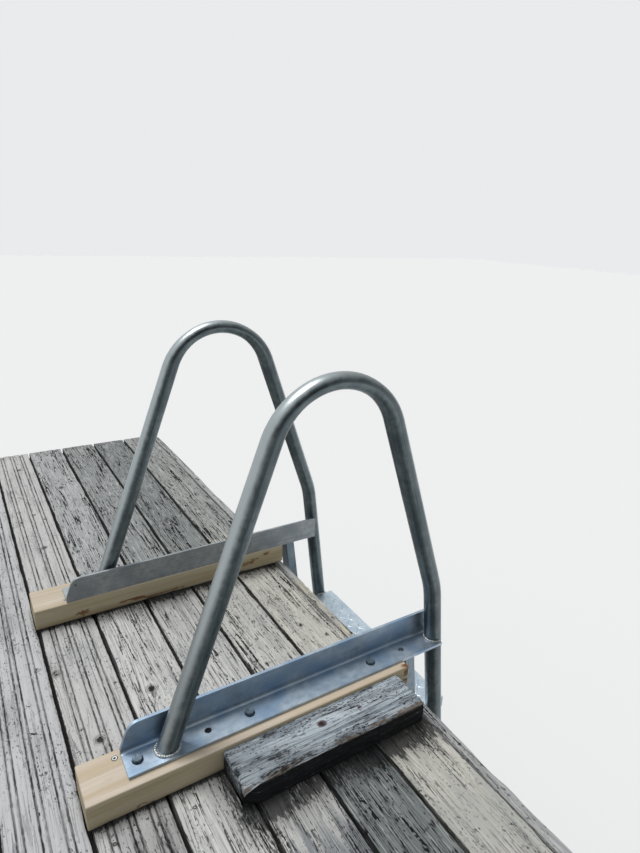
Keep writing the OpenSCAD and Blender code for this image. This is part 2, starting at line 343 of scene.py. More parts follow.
# A rounded rectangle, its points about step apart, as an array of places and one of outward directions
def roundedSection(width, height, radius, step):
    points, outward = [], []
    ways = ((1, -1), (1, 1), (-1, 1), (-1, -1))
    corners = [np.array([x * (width / 2 - radius), y * (height / 2 - radius)]) for x, y in ways]
    for i, corner in enumerate(corners):
        for part in range(4):
            angle = math.radians(90 * (i - 1) + 30 * part)
            outward.append((math.cos(angle), math.sin(angle)))
            points.append(corner + radius * np.array(outward[-1]))
        first, last = points[-1], corners[(i + 1) % 4] + radius * np.array(outward[-1])
        count = max(1, round(((width if i % 2 else height) - 2 * radius) / step))
        for part in range(1, count):
            points.append(first + (last - first) * part / count)
            outward.append(outward[-1])
    return np.array(points), np.array(outward)


def placesAlong(start, end, step, fineZones):
    places = []
    for low, high, apart in [(start, end, step), *fineZones]:
        low, high = max(low, start), min(high, end)
        if high > low:
            places.append(np.linspace(low, high, max(2, round((high - low) / apart) + 1)))
    places = np.unique(np.round(np.concatenate(places), 5))
    least = 0.0012
    keep = [places[0]]
    for place in places[1:-1]:
        if place - keep[-1] > least and places[-1] - place > least:
            keep.append(place)
    return np.array(keep + [places[-1]])


knotForm = {
    "fineReach": 1.5,        # in radii of the knot
    "stretch": 2.6,          # the fibres bend over this many radii along the grain
    "push": 0.9,             # how far they are pushed aside
    "fade": 1.6,
    "roundness": 0.8,
    "depth": 0.02,           # metres into the wood
}
seedShift = 3.7              # metres along the grain between one seed's patterns and the next's


# One timber that fills a box: a section carried along an axis in rows, then worn, and marked for its material
def timberSolid(low, high, timber):
    axis, knots, seed = timber["axis"], timber.get("knots", ()), timber["seed"]
    across = [i for i in (0, 1, 2) if i != axis]
    middle = (np.array(low) + np.array(high)) / 2
    section, outward = timber["section"]
    ease = timber.get("endEase", 0.002)
    zones = list(timber.get("fineZones", ()))
    for knot in knots:
        reach = knotForm["fineReach"] * knot["radius"]
        zones.append((knot["at"][axis] - reach, knot["at"][axis] + reach, knot["radius"] / 4))
    places = placesAlong(low[axis] + ease, high[axis] - ease, timber["rowStep"], zones)
    places = np.concatenate([[low[axis]], places, [high[axis]]])
    rows, columns = len(places), len(section)
    inset = np.zeros((rows, 1))
    inset[[0, -1]] = ease
    rings, normals = np.zeros((rows, columns, 3)), np.zeros((rows, columns, 3))
    rings[:, :, axis] = places[:, None]
    for k, direction in enumerate(across):
        rings[:, :, direction] = middle[direction] + section[:, k] - outward[:, k] * inset
        normals[:, :, direction] = outward[:, k]
    points, normal = rings.reshape(-1, 3), normals.reshape(-1, 3)
    marks = np.zeros((len(points), 4))
    marks[:, 3] = 1
    if "groove" in timber:
        marks[:, 1] = np.tile(timber["groove"], rows)
    for key, channel in (("stainAndShade", 0), ("fresh", 1)):
        if key in timber:
            marks[:, channel] = timber[key](points, normal)

    grain = points.copy()
    axisWay = np.eye(3)[axis]
    for knot in knots:
        way, size = np.array(knot["way"], float), knot["radius"]
        sideWay = np.cross(axisWay, way)
        away = points - np.array(knot["at"])
        lateral, along = away @ sideWay, away @ axisWay
        near = (lateral / size) ** 2 + (along / (knotForm["stretch"] * size)) ** 2
        facing = away @ way > -knotForm["depth"]
        push = lateral * knotForm["push"] * np.exp(-near / knotForm["fade"]) * facing
        grain -= sideWay * push[:, None]
        distance = np.sqrt(lateral ** 2 + (knotForm["roundness"] * along) ** 2) / size
        marks[:, 2] = np.maximum(marks[:, 2], np.clip(1 - distance, 0, 1) * facing)
    grain = np.stack([grain[:, way] - middle[way] - heart for way, heart in zip(across, timber["heart"])]
                     + [grain[:, axis] + seed * seedShift], axis=1)
    tone = timber["tone"]
    tone = tone(points, normal) if callable(tone) else np.tile(np.array(tone), (len(points), 1))
    if "wear" in timber:
        points = points - normal * timber["wear"](points, points - middle, normal)[:, None]

    index = np.arange(rows * columns).reshape(rows, columns)
    here, there = index[:-1], index[1:]
    quads = np.stack([here, np.roll(here, -1, 1), np.roll(there, -1, 1), there], axis=-1).reshape(-1, 4)
    turned = np.cross(points[quads[:, 1]] - points[quads[:, 0]], points[quads[:, 3]] - points[quads[:, 0]])
    faces = quads.tolist() + [index[0][::-1].tolist(), index[-1].tolist()]
    if np.einsum("ij,ij->", turned, normal[quads[:, 0]]) < 0:
        faces = [face[::-1] for face in faces]
    return {"points": points, "faces": faces, "grain": grain, "marks": marks, "tone": tone}


def makeTimber(name, nodes, solids, material, sharpAngle=38):
    keys = ("points", "grain", "marks", "tone")
    joined = {key: np.concatenate([solid[key] for solid in solids]) for key in keys}
    faces, start = [], 0
    for solid in solids:
        faces += [[corner + start for corner in face] for face in solid["faces"]]
        start += len(solid["points"])
    mesh = newMesh(name, joined.pop("points").tolist(), faces)
    smoothFaces(mesh, sharpAngle)
    for key, rows in joined.items():
        storeRows(mesh, key, rows)
    finishPiece(newObject(name, mesh), nodes, material)


def mixTones(first, second, share):
    return np.array(linear(first)) * (1 - share[:, None]) + np.array(linear(second)) * share[:, None]


deckBoards = {
    "grooves": 3,
    "groovePitch": 0.034,
    "grooveHalf": 0.008,
    "grooveDepth": 0.0025,
    # Half of a groove's form, from its rim to its middle: across, down, dirt.
    # A low rib runs between two channels.
    "grooveForm": [(-1.0, 0.0, 0.0), (-0.90, 0.18, 0.35), (-0.74, 0.85, 1.0), (-0.58, 1.0, 1.0),
                   (-0.40, 0.9, 0.75), (-0.24, 0.40, 0.12), (0.0, 0.36, 0.0)],
    "flatStep": 0.0048,
    "edgeRadius": 0.0028,
    "rowStep": 0.06,
    "nearRowStep": 0.012,
    "nearFrom": 3.3,          # the boards are finer from here to the outer end
    "nearBoards": range(6, 13),
    "wornFrom": 9,            # the boards from here to the ladder's side are worn nearly smooth
    "wornGroove": 0.30,
    "groovedLines": 0.1,      # how strongly the grooved boards are lined
    "tones": {6: "#bcbdbf", 7: "#bfc0c2", 8: "#c0c0bf", 9: "#cacac7", 10: "#c5c5c2", 11: "#c3c2bd",
              12: "#c8c6bd"},
    "otherTones": ("#b9babb", "#bfbfbc", "#b2b4b4", "#c1c1ba"),
    # Stretches that have weathered darker: board, along from, along to, colour, strength of the lines
    "patches": [(11, -1.0, 4.20, "#737978", 1.7), (10, -1.0, 4.05, "#808487", 1.2),
                (12, -1.0, 4.0, "#b3b3ad", 0.3), (9, 4.9, 7.0, "#b0b2b2", 1.8),
                (10, 4.86, 7.0, "#969998", 1.9), (11, 4.86, 7.0, "#828685", 1.9),
                (12, 5.0, 7.0, "#9c9e9b", 1.5)],
    "patchEdge": 0.04,
    # Knots that the photograph shows: board, across from its left edge, along, radius
    "knots": [(8, 0.066, 5.19, 0.011), (8, 0.071, 5.83, 0.010), (9, 0.055, 5.60, 0.011),
              (11, 0.056, 5.19, 0.012), (11, 0.079, 5.80, 0.013), (8, 0.070, 5.42, 0.006),
              (9, 0.098, 5.64, 0.006), (8, 0.051, 4.41, 0.012), (9, 0.046, 4.49, 0.013),
              (9, 0.062, 4.40, 0.015), (8, 0.012, 4.63, 0.012), (7, 0.102, 4.66, 0.007),
              (12, 0.046, 4.52, 0.007), (12, 0.081, 4.66, 0.006), (10, 0.078, 4.52, 0.006),
              (12, 0.084, 4.46, 0.006), (11, 0.039, 4.44, 0.006)],
    "hiddenKnots": 7,         # a board, spread over the length that the photograph doesn't show
    "biteDepth": 0.0045,
    "fineDepth": 0.0004,
    "cup": 0.0006,            # how much lower a board's edges lie than its middle
    "stainAndShade": 0.85,
    # Dirt and painted shadow before each packer: its reach and strength. Then the reach of the painted shadow
    # and stain before the block
    "packerShadowAndDirt": {"shore": (0.040, 0.7), "outer": (0.064, 1.2)},
    "blockShadowAndStain": 0.100,
    # The corner under the shore bracket's end, painted near black: place and reach
    "darkCornerSpot": ((0.215, 4.16), (0.055, 0.075)),
}


def deckShadowAndDirt(points, normal):
    # Dirt beside the packers, painted shadow on their camera side and before the block, with stain, and a
    # dark corner patch
    x, y = points[:, 0], points[:, 1]
    ragged = roughness(points, (0.006, 0.09, 1.0), 41)
    broad = roughness(points, (0.05, 0.2, 1.0), 42)
    total = np.zeros(len(points))
    for where, (reach, strength) in deckBoards["packerShadowAndDirt"].items():
        low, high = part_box(f"ladder_packer_{where}")
        inside = smoothStep(x, low.x - 0.01, low.x + 0.01)
        before = smoothStep(y, low.y - reach * (0.5 + ragged), low.y - 0.002) * (y < high.y)
        behind = smoothStep(y, high.y + 0.02 * (0.4 + ragged), high.y + 0.002) * (y > low.y)
        beside = np.maximum(before, 0.7 * behind)
        total = np.maximum(total, inside * strength * (0.45 + 0.75 * broad) * beside)
        # A thin black line where each packer meets the deck on its camera side: painted shadow
        touching = smoothStep(y, low.y - 0.012, low.y - 0.004) * (y < high.y)
        total = np.maximum(total, 1.6 * inside * touching)
    # Painted shadow and stain under and before the block
    low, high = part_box("loose_block")
    inside = smoothStep(x, low.x - 0.06, low.x + 0.02) * smoothStep(x, high.x + 0.05, high.x)
    raggedStainAndShade = deckBoards["blockShadowAndStain"] * (0.60 + 0.5 * ragged)
    before = smoothStep(y, low.y - raggedStainAndShade, low.y - 0.012) * (y < high.y)
    total = np.maximum(total, inside * before * (0.95 + 0.6 * broad))
    place, reach = deckBoards["darkCornerSpot"]
    spot = np.hypot((x - place[0]) / reach[0], (y - place[1]) / reach[1])
    total = np.maximum(total, 0.85 * smoothStep(spot, 1.25, 0.35) * (0.5 + 0.7 * ragged))
    return deckBoards["stainAndShade"] * total * (normal[:, 2] > 0.3)


def boardSection(width, height, grooveShare):
    # Across the grooved top from left to right, then down and round: place, way outward, and the share of
    # dirt and painted shade
    depth, radius = deckBoards["grooveDepth"] * grooveShare, deckBoards["edgeRadius"]
    half, form = deckBoards["grooveHalf"], deckBoards["grooveForm"]
    form = form + [(-across, down, dirtAndShade) for across, down, dirtAndShade in reversed(form[:-1])]
    top = []
    previous = radius
    for i in range(deckBoards["grooves"] + 1):
        centre = width / 2 + (i - (deckBoards["grooves"] - 1) / 2) * deckBoards["groovePitch"]
        isLast = i == deckBoards["grooves"]
        start = width - radius if isLast else centre - half
        count = max(1, round((start - previous) / deckBoards["flatStep"]))
        top += [(previous + (start - previous) * part / count, 0.0, 0.0) for part in range(1, count)]
        if not isLast:
            top += [(centre + across * half, -down * depth, dirtAndShade * (0.25 + 0.75 * grooveShare))
                    for across, down, dirtAndShade in form]
        previous = centre + half
    rows = [((x - width / 2, height / 2 + z), (0.0, 1.0), dirtAndShade) for x, z, dirtAndShade in reversed(top)]

    def corner(way, start, cornerDirtAndShade):
        for part, dirtAndShade in enumerate(cornerDirtAndShade):
            angle = math.radians(start + 30 * part)
            place = (way * (width / 2 - radius) + radius * math.cos(angle),
                     height / 2 - radius + radius * math.sin(angle))
            rows.append((place, (math.cos(angle), math.sin(angle)), dirtAndShade))

    # The rounded corners, sides and bottom are painted dark: painted shade in the gaps between the boards
    low = -height / 2 + 0.002
    corner(-1, 90, [0.35 + 0.22 * part for part in range(4)])
    rows += [((-width / 2, z), (-1.0, 0.0), 1.0) for z in (0.0, low)]
    rows += [((share * width, -height / 2), (0.0, -1.0), 0.4) for share in (-0.49, -0.25, 0.0, 0.25, 0.49)]
    rows += [((width / 2, z), (1.0, 0.0), 1.0) for z in (low, 0.0)]
    corner(1, 0, [1.0 - 0.22 * part for part in range(4)])
    return [np.array(column) for column in zip(*rows)]


def makeDeckBoards():
    chance = np.random.default_rng(11)
    for number in range(1, 13):
        node = f"deck_board_{number:02d}"
        low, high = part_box(node)
        width, height = high.x - low.x, high.z - low.z
        worn = number >= deckBoards["wornFrom"]
        section, outward, dirtAndShade = boardSection(width, height, deckBoards["wornGroove"] if worn else 1.0)
        corner = np.clip(1 - np.abs(np.abs(section[:, 0]) - width / 2) / 0.008, 0, 1) * (section[:, 1] > 0)
        near = number in deckBoards["nearBoards"]
        knots = [row[1:] for row in deckBoards["knots"] if row[0] == number]
        reach = deckBoards["nearFrom"] if near else jettyEnd
        for i in range(deckBoards["hiddenKnots"]):
            knots.append((chance.uniform(0.015, width - 0.015), chance.uniform(0.1, reach),
                          chance.uniform(0.006, 0.012)))
        bitten = chance.uniform(0.5, 1.2)
        seed = number * 17
        lines = 1.0 if worn else deckBoards["groovedLines"]
        base = linear(deckBoards["tones"].get(number, deckBoards["otherTones"][number % 4]))

        def wear(points, local, normal, seed=seed, bitten=bitten, corner=corner):
            edge = np.tile(corner, len(points) // len(corner))
            bites = roughness(points, (0.02, 0.05, 0.02), seed)
            bites *= roughness(points, (0.05, 0.3, 0.05), seed + 1)
            bites = bitten * deckBoards["biteDepth"] * smoothStep(bites, 0.22, 0.6)
            fine = deckBoards["fineDepth"] * roughness(points, (0.004, 0.05, 0.01), seed + 2)
            cup = deckBoards["cup"] * (local[:, 0] / 0.06) ** 2
            return edge * bites + fine + cup * (normal[:, 2] > 0.5)

        def tone(points, normal, number=number, seed=seed, base=(*base[:3], lines)):
            mixed = np.tile(np.array(base), (len(points), 1))
            y = points[:, 1] + 0.12 * (roughness(points, (0.012, 0.3, 1.0), seed + 3) - 0.5)
            edge = deckBoards["patchEdge"]
            for board, start, stop, code, strength in deckBoards["patches"]:
                if board == number:
                    share = smoothStep(y, start - edge, start + edge)
                    share = (share * smoothStep(y, stop + edge, stop - edge))[:, None]
                    mixed = mixed * (1 - share) + np.array((*linear(code)[:3], strength)) * share
            return mixed

        timber = {
            "axis": 1, "section": (section, outward), "rowStep": deckBoards["rowStep"],
            "fineZones": [(deckBoards["nearFrom"], jettyEnd, deckBoards["nearRowStep"])] if near else [],
            "knots": [{"at": (low.x + x, along, high.z), "way": (0, 0, 1), "radius": size}
                      for x, along, size in knots],
            "heart": (chance.uniform(-0.07, 0.07), -height / 2 - chance.uniform(0.02, 0.06)),
            "seed": seed, "tone": tone, "groove": dirtAndShade, "wear": wear, "stainAndShade": deckShadowAndDirt,
        }
        makeTimber(f"board_{number:02d}", [node], [timberSolid(low, high, timber)], weatheredMaterial)


# A black filler low in the gaps between the boards: painted shade
gapShade = {
    "top": 0.013,             # below the boards' tops
    "bottom": 0.026,
    "colour": "#14130f",
    "paleMottle": "#2b2922",
    "mottle": 3.846,          # millimetres
    "relief": 2.0,            # millimetres
    "step": 0.02,
    "leastLength": 4,         # steps
    "section": (0.0012, 0.003),             # radius of its edges, distance between points
    "rough": 0.004,
    "openFrom": 0.80,         # share of the noise above which a gap is clear
    "fullFrom": 3.4,          # from here to the outer end no gap is clear
}


def makeGapShade():
    # Painted shade: a nearly black, dull filler low in the gaps stands in for their shade, so that the gaps
    # between the boards are dark over any floor
    material, tree, shader = newMaterial("black gap filler standing in for shade")
    where = add(tree, "ShaderNodeTexCoord").outputs["Object"]
    mottle = noiseAt(tree, where, (gapShade["mottle"],) * 3, 4.0)
    bump = relief(tree, [(mottle, gapShade["relief"])])
    colour = paint(tree, linear(gapShade["colour"]), [mottle, 0.4], gapShade["paleMottle"])
    feed(tree, shader, {"Base Color": colour, "Roughness": 0.95, "Normal": bump})
    solids = []
    for number in range(1, 12):
        left, right = (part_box(f"deck_board_{number + k:02d}") for k in (0, 1))
        low = Vector((left[1].x + 0.0001, 0, deckTop - gapShade["bottom"]))
        high = Vector((right[0].x - 0.0001, 0, deckTop - gapShade["top"]))
        places = np.arange(gapShade["step"], jettyEnd - gapShade["step"], gapShade["step"])
        here = np.stack([places * 0 + low.x, places, places * 0], axis=1)
        filled = (roughness(here, (1, 0.16, 1), 60 + number) < gapShade["openFrom"]) | (places > gapShade["fullFrom"])
        edges = np.flatnonzero(np.diff(np.concatenate([[0], filled.astype(int), [0]])))

        def wear(points, local, normal, number=number):
            return gapShade["rough"] * roughness(points, (0.006, 0.012, 0.01), number) * (normal[:, 2] > 0.5)

        timber = {"axis": 1, "section": roundedSection(high.x - low.x, high.z - low.z, *gapShade["section"]),
                  "rowStep": gapShade["step"], "heart": (0, 0), "seed": number, "tone": linear(gapShade["colour"]),
                  "wear": wear}
        for start, stop in zip(edges[::2], edges[1::2]):
            if stop - start >= gapShade["leastLength"]:
                low.y, high.y = places[start], places[stop - 1]
                solids.append(timberSolid(low, high, timber))
    makeTimber("gap_silt", [], solids, material)


makeDeckBoards()
makeGapShade()
print("deck boards")

edgeBoards = {
    "section": roundedSection(0.022, 0.145, 0.003, 0.010),
    "tone": "#abadac",
    "rotTone": "#c8c2b0",     # cream where the surface has come away
    "rotFrom": 4.41,          # the rotten stretch beside the shore bracket
    "rotTo": 4.71,
    "knots": (0.7, 1.9, 2.6, 3.7, 4.9, 5.5),
    "knotRadius": 0.011,
    "knotBelow": 0.05,        # below the board's top
    "biteDepth": 0.004,
    "rotDepth": 0.005,
    "fineDepth": 0.0005,
    "fineZones": [(3.3, jettyEnd, 0.014), (4.38, 4.74, 0.006)],
}


def makeEdgeBoard(node, seed, near):
    low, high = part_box(node)
    way = 1 if near else -1

    def rotten(y, firstRise, lastFall, lead=0.0, trail=0.0):
        start, stop = edgeBoards["rotFrom"] - lead, edgeBoards["rotTo"] + trail
        return smoothStep(y, start, start + firstRise) * smoothStep(y, stop, stop - lastFall) * near

    def wear(points, local, normal):
        edge = np.clip(1 - (high.z - points[:, 2]) / 0.012, 0, 1)
        bites = roughness(points, (0.02, 0.05, 0.02), seed) * roughness(points, (0.1, 0.2, 0.1), seed + 1)
        fine = roughness(points, (0.006, 0.014, 0.008), seed + 2)
        rot = rotten(points[:, 1], 0.06, 0.08)
        bitten = edgeBoards["biteDepth"] * smoothStep(bites, 0.2, 0.6) + edgeBoards["rotDepth"] * rot * fine
        return edge * bitten + edgeBoards["fineDepth"] * fine

    def tone(points, normal):
        rot = rotten(points[:, 1], 0.07, 0.08, 0.02, 0.03)
        rot *= 0.35 + 0.65 * smoothStep(roughness(points, (0.02, 0.05, 0.03), seed + 4), 0.3, 0.6)
        return mixTones(edgeBoards["tone"], edgeBoards["rotTone"], rot)

    def stainAndShade(points, normal):
        return 0.5 * smoothStep(high.z - points[:, 2], 0.05, 0.145)

    x, z = high.x if near else low.x, high.z - edgeBoards["knotBelow"]
    knots = [{"at": (x, y, z), "way": (way, 0, 0), "radius": edgeBoards["knotRadius"]}
             for y in edgeBoards["knots"]]
    timber = {"axis": 1, "section": edgeBoards["section"], "rowStep": 0.04, "heart": (-0.05, -0.02),
              "fineZones": edgeBoards["fineZones"] if near else [], "seed": seed, "knots": knots,
              "tone": tone, "wear": wear, "stainAndShade": stainAndShade}
    makeTimber(node.replace("_board", ""), [node], [timberSolid(low, high, timber)], weatheredMaterial)


makeEdgeBoard("edge_board_ladder_side", 301, True)
makeEdgeBoard("edge_board_open_side", 303, False)

underTimbers = {
    "size": {"ring": 5.0, "wander": 20, "fibre": 2.6, "streak": 12, "blotch": 90, "speck": 5.0,
             "speckFrom": 0.62, "crack": 14, "crackLength": 420, "dash": 8},
    "colours": {"shade": "#b8b4ad", "early": "#6e665a", "bright": "#b0a795", "blotch": "#5b5449",
                "mould": "#2f2d28", "crack": "#1c1a17", "dirtAndShade": "#2c2a26", "knot": "#4b3d2e",
                "stainAndShade": "#2b2a25"},
    "shares": {"early": 0.5, "ring": 0.5, "bright": 0.35, "blotch": 0.6, "dash": 0.4, "speck": 0.85,
               "scratch": 0.3, "thread": 0.5, "crack": 0.95, "knot": 0.5, "knotHeart": 0.3},
    "relief": {"fibre": 0.6, "ring": -0.3, "crack": -1.4},
    "tone": "#918876",
    "wear": 0.0008,
    "section": (0.003, 0.02),               # radius of its edges, distance between points
    "joists": 9,              # between the two at the ends
}
# Browner and damper than the deck, out of the sun, with its rings still showing
underMaterial = weatheredTimber("damp sawn timber", underTimbers)


def sawnSolid(low, high, axis, seed):
    width, height = (high[i] - low[i] for i in (0, 1, 2) if i != axis)
    chance = np.random.default_rng(seed)

    def wear(points, local, normal):
        return underTimbers["wear"] * roughness(points, (0.012, 0.012, 0.012), seed)

    timber = {"axis": axis, "section": roundedSection(width, height, *underTimbers["section"]),
              "rowStep": 0.05, "heart": (chance.uniform(-0.04, 0.04), chance.uniform(-0.09, -0.04)),
              "seed": seed, "tone": linear(underTimbers["tone"]), "wear": wear}
    return timberSolid(low, high, timber)


def makeSawn(name, node, axis, seed):
    makeTimber(name, [node], [sawnSolid(*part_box(node), axis, seed)], underMaterial)


def makeUnderTimbers():
    for i, where in enumerate(("shore", "outer")):
        makeSawn(f"end_bearer_{where}", f"end_joist_{where}", 0, 401 + i)
    low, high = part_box("inner_joists")
    endLow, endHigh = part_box("end_joist_shore")
    width = endHigh.y - endLow.y
    pitch = (jettyEnd - width) / (underTimbers["joists"] + 1)
    solids = []
    for i in range(1, underTimbers["joists"] + 1):
        start, stop = Vector((low.x, i * pitch, low.z)), Vector((high.x, i * pitch + width, high.z))
        solids.append(sawnSolid(start, stop, 0, 410 + i))
    makeTimber("inner_bearers", ["inner_joists"], solids, underMaterial)
    for i, where in enumerate(("left", "middle", "right")):
        makeSawn(f"long_timber_{where}", f"stringer_{where}", 1, 430 + i)
    for i in range(1, 5):
        makeSawn(f"cross_timber_{i}", f"cap_beam_{i}", 0, 440 + i)


makeUnderTimbers()

posts = {
    "size": {"ring": 5.0, "wander": 16, "fibre": 3.0, "streak": 12, "blotch": 110, "speck": 6.0,
             "speckFrom": 0.62, "crack": 16, "crackLength": 700, "dash": 9},
    "colours": {"shade": "#a9a398", "early": "#57503f", "bright": "#9a917c", "blotch": "#474233",
                "mould": "#24231d", "crack": "#12110e", "dirtAndShade": "#12110e", "knot": "#3a2f22",
                "stainAndShade": "#262c1c"},
    "shares": {"early": 0.5, "ring": 0.15, "bright": 0.3, "blotch": 0.7, "dash": 0.4, "speck": 0.85,
               "scratch": 0.2, "thread": 0.6, "crack": 0.95, "knot": 0.5, "knotHeart": 0.3},
    "relief": {"fibre": 0.8, "crack": -2.0},
    "tone": "#7b7363",
    "around": 72,
    "uneven": 0.0016,
    "splits": 5,              # drying cracks to a post
    "splitDepths": (0.003, 0.006),
    "splitHalf": 0.09,        # radians
    "splitDrift": 0.35,       # how far a split wanders round the post, in radians
    "waterLine": -0.62,       # the wet, weed-stained part begins at about this height
}
# Grey-brown with deep drying cracks, dark green-brown below the water line
postMaterial = weatheredTimber("round post timber with a weed-stained foot", posts)


def makePost(number, where, seed):
    node = f"post_{number}_{where}"
    low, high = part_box(node)
    chance = np.random.default_rng(seed)
    splits = [(chance.uniform(0, 2 * math.pi), chance.uniform(*posts["splitDepths"]))
              for i in range(posts["splits"])]

    def wear(points, local, normal):
        angle = np.arctan2(local[:, 1], local[:, 0])
        depth = posts["uneven"] * roughness(points, (0.05, 0.05, 0.3), seed)
        for i, (place, deep) in enumerate(splits):
            drift = roughness(points * (0, 0, 1), (1, 1, 0.25), seed + i) * posts["splitDrift"]
            gap = np.abs((angle - place - drift + math.pi) % (2 * math.pi) - math.pi)
            run = smoothStep(roughness(points * (0, 0, 1), (1, 1, 0.5), seed + 20 + i), 0.3, 0.6)
            depth += deep * run * np.clip(1 - gap / posts["splitHalf"], 0, 1)
        return depth

    def stainAndShade(points, normal):
        edge = posts["waterLine"] + 0.05 * roughness(points, (0.03, 0.03, 0.06), seed)
        return 1.3 * smoothStep(points[:, 2], edge + 0.09, edge - 0.03)

    around = np.arange(posts["around"]) * 2 * math.pi / posts["around"]
    outward = np.stack([np.cos(around), np.sin(around)], axis=1)
    timber = {"axis": 2, "section": (outward * (high.x - low.x) / 2, outward), "rowStep": 0.03,
              "heart": (0.0, 0.0), "seed": seed, "tone": linear(posts["tone"]), "wear": wear, "stainAndShade": stainAndShade}
    makeTimber(f"round_post_{number}_{where}", [node], [timberSolid(low, high, timber)], postMaterial)


for number in range(1, 5):
    makePost(number, "left", 500 + 10 * number)
    makePost(number, "right", 501 + 10 * number)
print("edge boards, timbers below and posts")

packers = {
    "section": roundedSection(0.090, 0.051, 0.003, 0.006),
    "tone": "#cbc0b1",
    "shadedSideTone": "#b5ac92",
    "size": {"ring": 9.0, "wander": 14, "fibre": 2.6, "streak": 16, "blotch": 70, "speck": 3.0,
             "speckFrom": 0.64, "crack": 9, "crackLength": 200, "dash": 6},
    "colours": {"shade": "#f0eadf", "early": "#ab9878", "bright": "#d8d0c3", "blotch": "#b0a690",
                "mould": "#7a6a50", "crack": "#7d6648", "dirtAndShade": "#6e4220", "knot": "#7b4526",
                "stainAndShade": "#3f392c"},
    "shares": {"early": 0.10, "ring": 0.15, "bright": 0.15, "blotch": 0.35, "dash": 0.0, "speck": 0.12,
               "scratch": 0.06, "thread": 0.08, "crack": 0.0, "knot": 0.75, "knotHeart": 0.5},
    "relief": {"fibre": 0.10, "ring": -0.04},
    # Knots on the side towards the shore and on the top: from the inner end, height or way across, radius
    "sideKnots": {"shore": [(0.47, 0.030, 0.006)], "outer": [(0.105, 0.014, 0.007)]},
    "topKnots": {"shore": [], "outer": [(0.24, 0.082, 0.005)]},
    # Brown streaks of resin and rot on that side: the same, with half the length and half the height
    "streaks": {"shore": [(0.10, 0.008, 0.045, 0.004)],
                "outer": [(0.105, 0.014, 0.035, 0.008), (0.27, 0.012, 0.14, 0.006),
                          (0.545, 0.026, 0.055, 0.010), (0.60, 0.036, 0.02, 0.008)]},
}
# Pale yellow and smooth, with faint broad rings: the only new wood here
pineMaterial = weatheredTimber("new planed pine", packers)


def makePacker(where, number):
    node, seed = f"ladder_packer_{where}", 601 + 7 * number
    low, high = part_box(node)
    knots = [{"at": (low.x + x, low.y, deckTop + z), "way": (0, -1, 0), "radius": radius}
             for x, z, radius in packers["sideKnots"][where]]
    knots += [{"at": (low.x + x, low.y + y, high.z), "way": (0, 0, 1), "radius": radius}
              for x, y, radius in packers["topKnots"][where]]
    knots.append({"at": (low.x + 0.4, high.y, deckTop + 0.02), "way": (0, 1, 0), "radius": 0.009})

    # Painted shade: the sides take a darker tone than the top
    def tone(points, normal):
        return mixTones(packers["shadedSideTone"], packers["tone"], smoothStep(normal[:, 2], 0.3, 0.8))

    def fresh(points, normal):
        drift = 0.012 * (roughness(points, (0.05, 1, 1), seed + 3) - 0.5)
        ragged = roughness(points, (0.012, 0.01, 0.004), seed + 4)
        total = np.zeros(len(points))
        for across, above, length, half in packers["streaks"][where]:
            x = (points[:, 0] - low.x - across) / length
            z = (points[:, 2] - deckTop - above - drift) / half
            streak = smoothStep(np.hypot(x, z) + 0.9 * (ragged - 0.5), 1.1, 0.4)
            total = np.maximum(total, streak * (normal[:, 1] < -0.5))
        # The end of the shore packer at the deck's side is painted brown in ragged patches
        end = smoothStep(points[:, 0], high.x - 0.030, high.x - 0.006) * smoothStep(ragged, 0.25, 0.6)
        return np.maximum(total, end * (where == "shore"))

    def stainAndShade(points, normal):
        foot = smoothStep(points[:, 2], deckTop + 0.012, deckTop)
        foot *= roughness(points, (0.05, 0.05, 0.02), seed)
        return foot * smoothStep(roughness(points, (0.09, 0.3, 0.3), seed + 1), 0.35, 0.7)

    timber = {"axis": 0, "section": packers["section"], "rowStep": 0.008, "knots": knots, "seed": seed,
              "heart": (-0.055 + 0.03 * number, -0.07), "tone": tone, "endEase": 0.0015, "stainAndShade": stainAndShade,
              "fresh": fresh}
    makeTimber(f"packer_{where}", [node], [timberSolid(low, high, timber)], pineMaterial)


makePacker("shore", 0)
makePacker("outer", 1)

block = {
    "step": 0.0035,
    "wearWidth": 0.016,
    "tone": "#b5bfc7",
    # The sides' near-black tone is painted shade
    "shadedSideTone": "#282b2d",
    "size": {"ring": 4.0, "wander": 24, "fibre": 2.6, "streak": 9, "blotch": 40, "speck": 3.2,
             "speckFrom": 0.58, "crack": 10, "crackLength": 160, "dash": 6},
    "colours": {"shade": "#b7bcc0", "early": "#6b747b", "bright": "#d3dade", "blotch": "#59626a",
                "mould": "#1d2225", "crack": "#101214", "dirtAndShade": "#73604a", "knot": "#4f2829",
                "stainAndShade": "#121415"},
    "shares": {"early": 0.5, "ring": 0.4, "bright": 0.5, "blotch": 0.6, "dash": 0.6, "speck": 0.9,
               "scratch": 0.6, "thread": 0.6, "crack": 0.95, "knot": 0.85, "knotHeart": 0.75},
    "relief": {"fibre": 1.1, "ring": -0.6, "crack": -2.2, "speck": -0.5},
    "knots": ((0.538, 4.198, 0.009), (0.623, 4.197, 0.004)),   # across, along, radius, all on the top
    # How deep the wear goes: all over, splits in the sides and in the top, the edge along the shore side,
    # the broken corner and the rubbed outer edge
    "depths": {"fine": 0.0011, "sideSplits": 0.0035, "topSplits": 0.0012, "edge": 0.006, "corner": 0.010,
               "outerEdge": 0.003},
}
# Blue-grey on top with raised fibres, its sides painted near black as shade, and brown along its broken edge
blockMaterial = weatheredTimber("old split block, sides painted black as shade", block)


